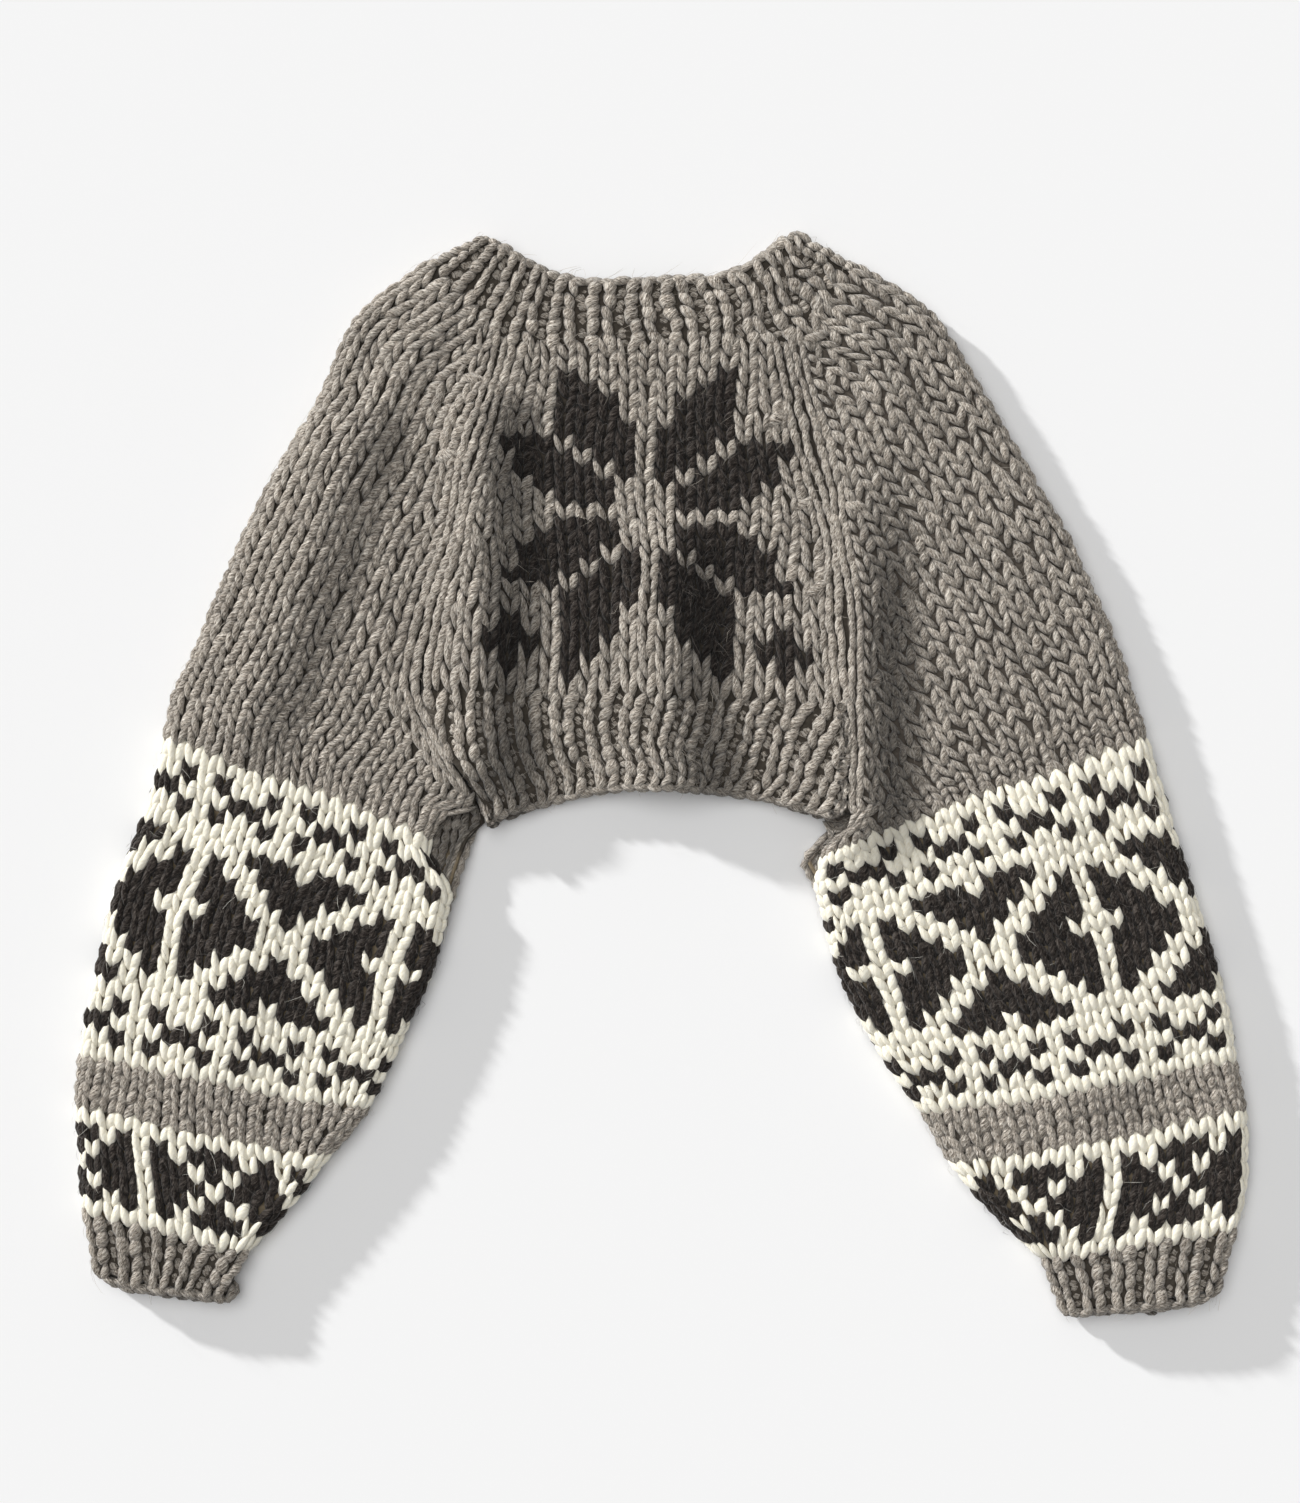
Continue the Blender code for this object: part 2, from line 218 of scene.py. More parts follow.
@dataclass(frozen=True)
class Cloth:
    """The laid cloth: its wall and how its two layers rise over the folds, in millimetres."""

    wall: float = 10.0
    gap: float = 1.8  # between the two layers
    fold_reach: float = 12.0  # how far in from a fold at the side its rounding goes
    fold_reach_share: float = 0.3  # of a narrow row's width that it may take
    fold_points: int = 8  # of a row's line, on such a rounding
    point_step: float = 3.5  # between a row's other points
    row_step: float = 5.0  # between the rows of a sleeve's form
    rib_row_step: float = 4.0
    panel_rows: int = 50
    crest_start: float = 2.0  # the under layer follows what rises above this
    under_share: float = 0.55  # by this much
    sleeve_crown: float = 2.0  # how far a sleeve's middle puffs up
    crown_run: float = 90.0  # over this distance from each end
    closing: float = 24.0  # over which a sleeve's inner side closes below the hem
    # Where its upper layer is pulled back: from and up to these distances below the hem's end, and over
    # what distances the pull grows and dies out
    pulled: Pair = (-12.0, 58.0)
    pull_runs: Pair = (14.0, 30.0)
    cuff_rim: float = 4.0  # how much longer a cuff's under layer is
    cuff_lift: float = 4.5  # how much a cuff gapes at its edge
    front_dip: float = 24.0  # how much lower the front neck is
    hem_arch: float = 24.0  # how far the hem's edge bends up in the middle
    hem_front_shorter: float = 4.0

    def faces(self, x: np.ndarray, y: np.ndarray, crown: np.ndarray) -> tuple[np.ndarray, np.ndarray]:
        """Lowest and highest face of the two layers.

        Args:
            x, y: places in the plan, in millimetres.
            crown: how much the piece itself puffs up there.

        Returns:
            Heights of the under face and of the upper face.
        """
        added = sum(fold.rise(x, y) for fold in FOLDS) + crown
        extra = np.maximum(added - self.crest_start, 0.0)
        return self.under_share * extra, 2 * self.wall + self.gap + added


CLOTH = Cloth()


class Path:
    """A row of cloth in plan: straight lines between its points, measured by length."""

    def __init__(self, points: np.ndarray) -> None:
        """Measures the path.

        Args:
            points: the places that it goes through, in millimetres.
        """
        self.points = np.asarray(points, float)
        steps = np.linalg.norm(np.diff(self.points, axis=0), axis=1)
        self.at = np.concatenate([[0.0], np.cumsum(steps)])
        self.length = float(self.at[-1])

    def read(self, distance: np.ndarray) -> tuple[np.ndarray, np.ndarray]:
        """Plan coordinates at these distances along the path."""
        return tuple(np.interp(distance, self.at, self.points[:, k]) for k in (0, 1))


@dataclass(frozen=True)
class PaintedShadeAndDarkCuffs:
    """Painted shade: how the wool's colour darkens in the cloth's hollows and where it falls away from the
    light, and how it darkens over the cuffs. Hollows and falls are in millimetres.
    """

    across: Pair = (11.0, -5.0)  # the way over which the cloth's fall is read, away from the window
    by_hollow: float = 0.04  # lost for each millimetre
    by_fall: float = 0.062
    free_fall: float = 1.0  # that costs nothing
    darkest: float = 0.4
    cuffs_y: float = -300.0  # the cuffs start here; the wool is darker below it
    cuffs_run: float = 16.0
    by_cuff: float = 0.16

    def light(self, points: np.ndarray) -> np.ndarray:
        """How much of the wool's colour the painted shade and the darker cuffs leave at these places.

        Args:
            points: places in metres, in the part's frame.

        Returns:
            A share of its full colour for each.
        """
        x, y = points[..., 0] / MM + MIDDLE[0], points[..., 1] / MM + MIDDLE[1]

        def rise(way: float) -> np.ndarray:
            """The folds' height beside each place."""
            return sum(fold.rise(x + way * self.across[0], y + way * self.across[1]) for fold in FOLDS)

        here, before, after = rise(0.0), rise(-1.0), rise(1.0)
        hollow = np.maximum((before + after) / 2 - here, 0.0)
        fall = np.maximum(before - after - self.free_fall, 0.0)
        cuffs = 1.0 - self.by_cuff * smooth((self.cuffs_y - y) / self.cuffs_run)
        return cuffs * np.clip(1.0 - self.by_hollow * hollow - self.by_fall * fall, self.darkest, 1.0)


PAINTED_SHADE_AND_DARK_CUFFS = PaintedShadeAndDarkCuffs()


def laid_row(path: Path, upper: bool, close_start: float, close_end: float, crown: float) -> np.ndarray:
    """One layer of one row, from the row's start to its end.

    Args:
        path: the row in plan.
        upper: whether it is the layer that faces up.
        close_start, close_end: 0 where the end is an upright seam, 1 where the layers meet in a fold.
        crown: how far the middle puffs up, in millimetres.

    Returns:
        Points in millimetres, dense at the folds.
    """
    reach = min(CLOTH.fold_reach, CLOTH.fold_reach_share * path.length)
    turned = reach * (1.0 - np.cos(np.linspace(0.0, math.pi / 2, CLOTH.fold_points + 1)[:-1]))
    flat = np.linspace(reach, path.length - reach, max(6, int(path.length / CLOTH.point_step)))
    at = np.concatenate([turned, flat, path.length - turned[::-1]])
    x, y = path.read(at)
    bottom, top = CLOTH.faces(x, y, crown * np.sin(math.pi * at / path.length) ** 2)
    share = np.ones_like(at)
    for distance, close in ((at, close_start), (path.length - at, close_end)):
        turn = np.clip(1.0 - distance / reach, 0.0, 1.0)
        share *= (1.0 - close) + close * np.sqrt(1.0 - turn**2)
    middle = (bottom + top) / 2
    z = middle + ((top if upper else bottom) - middle) * share
    return np.stack([x, y, z], axis=1)


def evened(points: np.ndarray, count: int) -> tuple[np.ndarray, float]:
    """A line of points made even in length.

    Args:
        points: the line.
        count: number of points wanted.

    Returns:
        The new points and the line's length.
    """
    steps = np.linalg.norm(np.diff(points, axis=0), axis=1)
    at = np.concatenate([[0.0], np.cumsum(steps)])
    wanted = np.linspace(0.0, at[-1], count)
    return np.stack([np.interp(wanted, at, points[:, k]) for k in range(3)], axis=1), float(at[-1])


class Surface:
    """A layered piece of cloth, read by the distance s down it and the distance u round it.

    u is 0 at the first fold, counts up over the upper layer and down over the under layer.
    """

    SPREAD = 72  # grid columns on each layer
    MARGIN = 3  # grid rows added beyond each end

    def __init__(self, step: float, upper: list[np.ndarray], under: list[np.ndarray], ring: bool) -> None:
        """Makes the grid.

        Args:
            step: distance between the rows, in millimetres.
            upper, under: one line of points a row and layer, or none for a layer that isn't there.
            ring: whether the layers also meet at the far end of every row.
        """
        self.step = step
        self.ring = ring
        self.rows = len(upper or under)
        self.length = step * (self.rows - 1)
        self.has_under, self.has_upper = bool(under), bool(upper)
        layers, widths = [], []
        for lines in (under or upper, upper or under):
            found = [evened(line, self.SPREAD + 1) for line in lines]
            layers.append(np.array([line for line, _ in found]))
            widths.append(self._padded(np.array([width for _, width in found])))
        self.width_under, self.width_upper = widths
        below, above = layers
        # A layer that isn't there lies flat below the other one, or just above it
        if not under:
            below = above * (1.0, 1.0, 0.0)
        if not upper:
            above = below + (0.0, 0.0, 1.0)
        grid = np.concatenate([below[:, :0:-1], above], axis=1)
        grid[:, :, :2] -= MIDDLE
        self.grid = self._padded(grid)
        self.normal = self._normals()
        self.columns = (0 if under else self.SPREAD, (2 if upper else 1) * self.SPREAD - 1)
        self.hand = self._handed()

    def _padded(self, values: np.ndarray) -> np.ndarray:
        """Adds straight extensions beyond both ends.

        Args:
            values: something given for each row.

        Returns:
            The same for the rows and the added ones.
        """
        before = [values[0] + (values[0] - values[1]) * k for k in range(self.MARGIN, 0, -1)]
        after = [values[-1] + (values[-1] - values[-2]) * k for k in range(1, self.MARGIN + 1)]
        return np.concatenate([before, values, after])

    def _normals(self) -> np.ndarray:
        """Finds the directions out of the cloth.

        Returns:
            One at each of the grid's points.
        """
        down = np.gradient(self.grid, axis=0)
        round_ = np.gradient(self.grid, axis=1)
        if self.ring:
            ends = self.grid[:, 1] - self.grid[:, -2]
            round_[:, 0] = ends
            round_[:, -1] = ends
        if not self.has_under:
            round_[:, : self.SPREAD + 1] = round_[:, self.SPREAD + 1 : self.SPREAD + 2]
        if not self.has_upper:
            round_[:, self.SPREAD :] = round_[:, self.SPREAD - 1 : self.SPREAD]
        out = np.cross(round_, down)
        side = out[:, self.SPREAD + 2 :, 2].sum() if self.has_upper else -out[:, : self.SPREAD, 2].sum()
        if side < 0:
            out = -out
        return out / np.maximum(np.linalg.norm(out, axis=2, keepdims=True), 1e-9)

    def _handed(self) -> float:
        """Finds which way u counts.

        Returns:
            1 where it counts to the right of somebody who looks at the cloth with s downwards, else -1.
        """
        i, j = self.grid.shape[0] // 2, sum(self.columns) // 2
        if self.has_under and self.has_upper:
            j += self.SPREAD // 2
        right, down = self.grid[i, j + 1] - self.grid[i, j], self.grid[i + 1, j] - self.grid[i, j]
        return 1.0 if np.dot(np.cross(right, -down), self.normal[i, j]) > 0 else -1.0

    def width(self, s: np.ndarray | float, upper: bool) -> np.ndarray:
        """Width of a layer at these distances down the piece, in millimetres."""
        values = self.width_upper if upper else self.width_under
        return np.interp(s, (np.arange(len(values)) - self.MARGIN) * self.step, values)

    def place(self, s: np.ndarray, u: np.ndarray, out: np.ndarray | float) -> np.ndarray:
        """Points on, above or below the cloth.

        Args:
            s, u: distances down and round the piece, in millimetres.
            out: distances out of its face, in millimetres.

        Returns:
            Points in metres.
        """
        row = np.clip(s / self.step + self.MARGIN, 0.0, self.grid.shape[0] - 1.001)
        turn = np.where(u >= 0, u / self.width(s, True), u / self.width(s, False))
        if self.ring:
            turn = (turn + 1.0) % 2.0 - 1.0
        column = (turn + 1.0) * self.SPREAD
        i, j = row.astype(int), np.clip(np.floor(column).astype(int), *self.columns)
        # A place past the last column is read on the straight line through the last two, up to 1.5 beyond
        f, g = (row - i)[..., None], np.clip(column - j, -1.5, 2.5)[..., None]

        def blend(values: np.ndarray) -> np.ndarray:
            """Reads a value between four grid points.

            Args:
                values: one for each grid point.

            Returns:
                One for each place.
            """
            near = values[i, j] * (1 - g) + values[i, j + 1] * g
            far = values[i + 1, j] * (1 - g) + values[i + 1, j + 1] * g
            return near * (1 - f) + far * f

        normal = blend(self.normal)
        normal /= np.maximum(np.linalg.norm(normal, axis=-1, keepdims=True), 1e-9)
        return (blend(self.grid) + normal * np.broadcast_to(out, s.shape)[..., None]) * MM


class Rows:
    """Rows of a piece read from a smooth curve through the given ones, by their mean length."""

    def __init__(self, rows: tuple[tuple[float, ...], ...]) -> None:
        """Measures the rows.

        Args:
            rows: the plan coordinates of each one's two ends.
        """
        self.values = np.array(rows, float)
        steps = np.linalg.norm(np.diff(self.values.reshape(-1, 2, 2), axis=0), axis=2).mean(axis=1)
        self.at = np.concatenate([[0.0], np.cumsum(steps)])
        self.slopes = np.gradient(self.values, self.at, axis=0)
        self.length = float(self.at[-1])

    def read(self, s: float) -> np.ndarray:
        """Finds a row on a smooth curve through the given ones.

        Args:
            s: its distance down the piece.

        Returns:
            The plan coordinates of its two ends, as four numbers.
        """
        at, values, slopes = self.at, self.values, self.slopes
        k = int(np.clip(np.searchsorted(at, s) - 1, 0, len(at) - 2))
        width = at[k + 1] - at[k]
        t = (s - at[k]) / width
        return (
            (2 * t**3 - 3 * t**2 + 1) * values[k]
            + (t**3 - 2 * t**2 + t) * width * slopes[k]
            + (3 * t**2 - 2 * t**3) * values[k + 1]
            + (t**3 - t**2) * width * slopes[k + 1]
        )

    def steps(self, pitch: float) -> tuple[float, np.ndarray]:
        """Even distances down the piece, about this far apart, and the step between them."""
        count = max(2, int(round(self.length / pitch)))
        return self.length / count, np.linspace(0.0, self.length, count + 1)


def sleeve_surface(rows: Rows, pull: float) -> Surface:
    """The form of a sleeve: open along the raglan lines, then a closed tube.

    Args:
        rows: its rows in plan.
        pull: how far the under layer shows beyond the upper one below the hem's corner, in millimetres.

    Returns:
        Its surface.
    """
    step, stations = rows.steps(CLOTH.row_step)
    closed = rows.at[CLOSED_ROW]
    upper, under = [], []
    for s in stations:
        ends = rows.read(s)
        path = Path((ends[:2], ends[2:]))
        # Beside the hem rib the edge stays up against it, and it closes just below
        close = float(smooth((s - closed) / CLOTH.closing))
        run = CLOTH.crown_run
        crown = CLOTH.sleeve_crown * float(smooth(s / run) * smooth((rows.length - s) / run))
        under.append(laid_row(path, False, 1.0, close, crown))
        (first, last), (growing, dying) = CLOTH.pulled, CLOTH.pull_runs
        back = pull * float(smooth((s - closed - first) / growing) * smooth((closed + last - s) / dying))
        inward = (ends[:2] - ends[2:]) / np.linalg.norm(ends[:2] - ends[2:])
        pulled = Path((ends[:2], ends[2:] + inward * back))
        upper.append(laid_row(pulled, True, 1.0, close, crown))
    return Surface(step, upper, under, ring=False)


def cuff_surface(rows: Rows) -> Surface:
    """The form of a cuff: a closed band that gapes, with an under layer that is a little longer.

    Args:
        rows: its first and last row in plan.

    Returns:
        Its surface.
    """
    step, stations = rows.steps(CLOTH.rib_row_step)
    way = (rows.values[-1] - rows.values[0]).reshape(2, 2).mean(axis=0)
    way /= np.linalg.norm(way)
    upper, under = [], []
    for s in stations:
        ends = rows.read(s)
        path = Path((ends[:2], ends[2:]))
        lifted = laid_row(path, True, 1.0, 1.0, 0.0)
        line = laid_row(path, False, 1.0, 1.0, 0.0)
        share = np.sin(math.pi * np.linspace(0.0, 1.0, len(line)))
        lifted[:, 2] += CLOTH.cuff_lift * (s / rows.length) ** 2 * share
        upper.append(lifted)
        line[:, :2] += way * (CLOTH.cuff_rim * s / rows.length * share)[:, None]
        under.append(line)
    return Surface(step, upper, under, ring=True)


def front_dip(x: np.ndarray, share: float) -> np.ndarray:
    """How far the front lies below the back, from the neck's corners to its middle.

    Args:
        x: places in the plan, in millimetres.
        share: 1 at the neck's seam and less below it.

    Returns:
        The distances, in millimetres.
    """
    left, right = (NECK_COLUMNS[k][2] for k in BACK_COLUMNS)
    t = np.clip((x - left) / (right - left), 0.0, 1.0)
    return CLOTH.front_dip * share * np.sin(math.pi * t) ** 2


def neck_surface() -> Surface:
    """The form of the neck rib.

    Returns:
        Its surface, from its seam up to its cast-off edge.
    """
    knots = np.array(NECK_COLUMNS, float)
    fine = np.linspace(0.0, len(knots) - 1.0, 4 * (len(knots) - 1) + 1)
    columns = np.stack([np.interp(fine, range(len(knots)), knots[:, k]) for k in range(4)], axis=1)
    dips = front_dip(columns[:, 2], 1.0)
    height = float(np.linalg.norm(columns[:, :2] - columns[:, 2:], axis=1).mean())
    count = int(round(height / CLOTH.rib_row_step))
    upper, under = [], []
    for t in np.linspace(1.0, 0.0, count + 1):
        points = columns[:, :2] * (1.0 - t) + columns[:, 2:] * t
        below = points.copy()
        below[:, 1] -= dips
        upper.append(laid_row(Path(points), True, 1.0, 1.0, 0.0))
        under.append(laid_row(Path(below), False, 1.0, 1.0, 0.0))
    return Surface(height / count, upper, under, ring=True)


def hem_surface() -> Surface:
    """The form of the hem rib.

    Returns:
        Its surface, from its seam down to its cast-off edge.
    """
    sides = (Rows(LEFT_ROWS), Rows(RIGHT_ROWS))
    count = round(HEM_LENGTH / CLOTH.rib_row_step)
    upper, under = [], []
    for t in np.linspace(0.0, 1.0, count + 1):
        first, last = (
            rows.read(rows.at[UNDERARM_ROW] + (rows.at[CLOSED_ROW] - rows.at[UNDERARM_ROW]) * t)[2:]
            for rows in sides
        )
        inward = (first - last) / np.linalg.norm(last - first) * HEM_CLEARANCE
        u = np.linspace(0.0, 1.0, 25)[:, None]
        points = (first + inward) * (1 - u) + (last - inward) * u
        below = points.copy()
        arch = np.sin(math.pi * u[:, 0]) * t
        points[:, 1] += CLOTH.hem_arch * arch
        below[:, 1] += (CLOTH.hem_arch + CLOTH.hem_front_shorter) * arch
        upper.append(laid_row(Path(points), True, 0.0, 0.0, 0.0))
        under.append(laid_row(Path(below), False, 0.0, 0.0, 0.0))
    return Surface(HEM_LENGTH / count, upper, under, ring=True)


def panel_surface(is_back: bool) -> Surface:
    """The form of the back or the front.

    Args:
        is_back: which of the two.

    Returns:
        Its surface, from the neck rib to the hem rib.
    """
    sides = (Rows(LEFT_ROWS), Rows(RIGHT_ROWS))
    lines, middles = [], []
    for t in np.linspace(0.0, 1.0, CLOTH.panel_rows + 1):
        first, last = (rows.read(rows.at[UNDERARM_ROW] * t)[2:] for rows in sides)
        u = np.linspace(0.0, 1.0, 41)[:, None]
        points = first * (1 - u) + last * u
        if not is_back:
            points[:, 1] -= front_dip(points[:, 0], (1.0 - t) ** 2)
        lines.append(laid_row(Path(points), is_back, 0.0, 0.0, 0.0))
        middles.append(points.mean(axis=0))
    height = float(np.linalg.norm(np.diff(middles, axis=0), axis=1).sum())
    step = height / CLOTH.panel_rows
    return Surface(step, lines if is_back else [], [] if is_back else lines, ring=False)


class Wool(Enum):
    """The three yarns, by the letter that stands for them in a chart."""

    GREY = "."
    CREAM = "o"
    DARK = "#"


@dataclass(frozen=True)
class WoolFinish:
    """How one yarn looks: its fibres' colours and how its plies and fibres stand out."""

    name: str
    deep: Colour
    mean: Colour
    bright: Colour
    fuzz: Colour
    ply_shade: float  # how much of its colour the painted shade between its plies leaves
    sheen: float
    relief: float
    variety: float = 0.32  # how much its legs differ in tone
    open_shade: float = 0.0  # how much of its colour the pale wool keeps under the painted shade that the mesh holds


FINISHES = {
    Wool.GREY: WoolFinish(
        name="grey_wool",
        deep=(0.10, 0.08, 0.061),
        mean=(0.495, 0.433, 0.362),
        bright=(0.92, 0.86, 0.765),
        fuzz=(0.62, 0.56, 0.48),
        ply_shade=0.3,
        sheen=0.3,
        relief=1.0,
    ),
    Wool.CREAM: WoolFinish(
        name="cream_wool",
        deep=(0.85, 0.785, 0.62),
        mean=(0.93, 0.887, 0.75),
        bright=(0.94, 0.912, 0.8),
        fuzz=(0.92, 0.89, 0.8),
        ply_shade=0.92,
        sheen=0.7,
        relief=0.35,
        variety=0.14,
        open_shade=0.5,
    ),
    Wool.DARK: WoolFinish(
        name="dark_wool",
        deep=(0.007, 0.005, 0.004),
        mean=(0.022, 0.0165, 0.0135),
        bright=(0.13, 0.11, 0.095),
        fuzz=(0.17, 0.15, 0.135),
        ply_shade=0.6,
        sheen=0.15,
        relief=0.8,
    ),
}


class Nodes:
    """The nodes of one tree, made and joined by short calls."""

    def __init__(self, tree: bpy.types.NodeTree) -> None:
        """Keeps the tree."""
        self.tree = tree

    def feed(self, node: bpy.types.Node, inputs: Inputs) -> None:
        """Sets a node's inputs.

        Args:
            node: the node.
            inputs: a number, a colour or a node's output for each, by its name or its number.
        """
        for slot, value in inputs.items():
            if isinstance(value, Socket):
                self.tree.links.new(value, node.inputs[slot])
            else:
                node.inputs[slot].default_value = value

    def new(self, kind: str, inputs: Inputs | None = None, **settings: object) -> bpy.types.Node:
        """Makes a node.

        Args:
            kind: its type.
            inputs: what goes into it.
            settings: its own properties.

        Returns:
            The node.
        """
        node = self.tree.nodes.new("ShaderNode" + kind)
        for name, value in settings.items():
            setattr(node, name, value)
        self.feed(node, inputs or {})
        return node

    def maths(self, kind: str, *values: Value) -> Socket:
        """The result of a maths node."""
        return self.new("Math", dict(enumerate(values)), operation=kind).outputs[0]

    def mix(self, factor: Value, first: Value, second: Value, blend: str = "MIX") -> Socket:
        """The result of a colour mix."""
        return self.new("Mix", {0: factor, 6: first, 7: second}, data_type="RGBA", blend_type=blend).outputs[2]

    def ramp(self, value: Socket, low: float, high: float) -> Socket:
        """The value stretched from low..high to 0..1."""
        return self.new("MapRange", {"Value": value, "From Min": low, "From Max": high}).outputs["Result"]

    def attribute(self, name: str, output: str = "Fac") -> Socket:
        """What the mesh holds under this name."""
        return self.new("Attribute", attribute_name=name).outputs[output]

    def bump(self, height: Socket, strength: float, distance: float) -> Socket:
        """The normal that this height gives."""
        return self.new("Bump", {"Height": height, "Strength": strength, "Distance": distance}).outputs[0]


class Materials:
    """The garment's materials, each made once, with the node group that they share."""

    def __init__(self) -> None:
        """Makes the shared group and leaves the materials to be made when first asked for."""
        self.group = self._yarn_group()

    @staticmethod
    def _yarn_group() -> bpy.types.NodeTree:
        """Makes plied yarn: twisted plies with fine fibres that run along them.

        Returns:
            A group from a place on the yarn and a number for each leg to a colour and a height.
        """
        tree = bpy.data.node_groups.new("plied_yarn", "ShaderNodeTree")
        for name, way, kind in (
            ("Place", "INPUT", "Vector"),
            ("Leg", "INPUT", "Float"),
            ("Deep", "INPUT", "Color"),
            ("Mean", "INPUT", "Color"),
            ("Bright", "INPUT", "Color"),
            ("Ply Shade", "INPUT", "Float"),
            ("Shade", "INPUT", "Float"),
            ("Variety", "INPUT", "Float"),
            ("Color", "OUTPUT", "Color"),
            ("Height", "OUTPUT", "Float"),
        ):
            tree.interface.new_socket(name, in_out=way, socket_type="NodeSocket" + kind)
        nodes = Nodes(tree)
        maths = nodes.maths
        given = tree.nodes.new("NodeGroupInput").outputs
        around, along = nodes.new("SeparateXYZ", {0: given["Place"]}).outputs[:2]
        # The plies wind round the yarn: a line that keeps to one ply has a constant twist
        twist = maths("ADD", around, maths("MULTIPLY", along, 0.7))

        def plies(count: float, sharp: float) -> Socket:
            """The height of rounded strands side by side round the yarn."""
            wave = maths("SINE", maths("MULTIPLY", twist, count * math.pi))
            return maths("POWER", maths("ABSOLUTE", wave), sharp)

        coarse, small = plies(count=6.0, sharp=0.6), plies(count=13.0, sharp=0.8)
        ply = maths("ADD", maths("MULTIPLY", coarse, 0.6), maths("MULTIPLY", small, 0.4))
        seed = maths("MULTIPLY", given["Leg"], 91.0)

        def fibres(across: float, down: float, detail: float) -> Socket:
            """Makes streaks that follow the plies.

            Args:
                across, down: how fine they are round and along the yarn.
                detail: how many finer layers they have.

            Returns:
                Their strength.
            """
            place = {0: maths("MULTIPLY", twist, across), 1: maths("MULTIPLY", along, down), 2: seed}
            spot = nodes.new("CombineXYZ", place).outputs[0]
            noise = {"Scale": 1.0, "Detail": detail, "Roughness": 0.6, "Vector": spot}
            return nodes.new("TexNoise", noise).outputs["Fac"]

        fine = fibres(across=30.0, down=9.0, detail=2.0)
        broad = fibres(across=9.0, down=2.2, detail=1.0)
        shade = nodes.mix(nodes.ramp(fine, 0.38, 0.51), given["Deep"], given["Mean"])
        light = nodes.mix(nodes.ramp(broad, 0.50, 0.72), shade, given["Bright"])
        mixed = nodes.mix(nodes.ramp(fine, 0.54, 0.68), nodes.mix(0.55, shade, light), given["Bright"])
        # Painted shade between the plies, a tone of its own for each leg, and the painted shade that the mesh
        # holds
        between = given["Ply Shade"]
        plied = maths("ADD", between, maths("MULTIPLY", ply, maths("SUBTRACT", 1.0, between)))
        own = maths("ADD", 1.0, maths("MULTIPLY", maths("SUBTRACT", given["Leg"], 0.5), given["Variety"]))
        tone = maths("MULTIPLY", maths("MULTIPLY", plied, own), given["Shade"])
        grey = nodes.new("CombineColor", {0: tone, 1: tone, 2: tone}).outputs[0]
        height = maths("ADD", maths("MULTIPLY", ply, 0.8), maths("MULTIPLY", fine, 0.6))
        end = tree.nodes.new("NodeGroupOutput")
        nodes.feed(end, {"Color": nodes.mix(1.0, mixed, grey, "MULTIPLY"), "Height": height})
        return tree

    @staticmethod
    def _started(name: str, sheen: float) -> tuple[bpy.types.Material, Nodes, bpy.types.Node]:
        """Makes a woollen material that has no colour yet.

        Args:
            name: its name.
            sheen: how much its fibres catch the light from the side.

        Returns:
            The material, its nodes and its shader.
        """
        material = bpy.data.materials.new(name)
        material.use_nodes = True
        nodes = Nodes(material.node_tree)
        shader = material.node_tree.nodes["Principled BSDF"]
        surface = {"Roughness": 0.94, "Specular IOR Level": 0.12, "Sheen Weight": sheen, "Sheen Roughness": 0.5}
        nodes.feed(shader, surface)
        return material, nodes, shader

    @cache
    def yarn(self, wool: Wool) -> bpy.types.Material:
        """Makes the material of one yarn's stitches.

        Args:
            wool: the yarn.

        Returns:
            Its material.
        """
        finish = FINISHES[wool]
        material, nodes, shader = self._started(finish.name, finish.sheen)
        yarn = nodes.new("Group", node_tree=self.group)
        kept = finish.open_shade
        for title, colour in (("Deep", finish.deep), ("Mean", finish.mean), ("Bright", finish.bright)):
            nodes.feed(yarn, {title: (*colour, 1.0)})
        place = nodes.new("UVMap", uv_map="Yarn").outputs[0]
        nodes.feed(yarn, {"Place": place, "Leg": nodes.attribute("leg"), "Variety": finish.variety})
        # The painted shade that the mesh holds, lessened for the pale wool
        shade = nodes.maths("MULTIPLY_ADD", nodes.attribute("shade"), 1.0 - kept, kept)
        nodes.feed(yarn, {"Ply Shade": finish.ply_shade, "Shade": shade})
        normal = nodes.bump(yarn.outputs["Height"], strength=finish.relief, distance=0.0008)
        nodes.feed(shader, {"Base Color": yarn.outputs["Color"], "Normal": normal})
        return material

    @cache
    def fuzz(self) -> bpy.types.Material:
        """Makes the material of the loose fibres.

        Returns:
            A material in the colour that each fibre holds.
        """
        material, nodes, shader = self._started("wool_fuzz", 0.3)
        nodes.feed(shader, {"Base Color": nodes.attribute("tint", "Color")})
        return material

    @cache
    def painted_shade_ground(self) -> bpy.types.Material:
        """Makes the material of the felted wool seen between the stitches, in a colour darkened with painted
        shade of the gaps.

        Returns:
            A mottled material in the colour that the shell holds.
        """
        material, nodes, shader = self._started("wool_ground", 0.1)
        place = nodes.new("TexCoord").outputs["Object"]
        noise = nodes.new("TexNoise", {"Scale": 420.0, "Detail": 3.0, "Vector": place}).outputs["Fac"]
        colour = nodes.mix(0.7, nodes.attribute("tint", "Color"), noise, "MULTIPLY")
        normal = nodes.bump(noise, strength=0.6, distance=0.001)
        nodes.feed(shader, {"Base Color": colour, "Normal": normal})
        return material


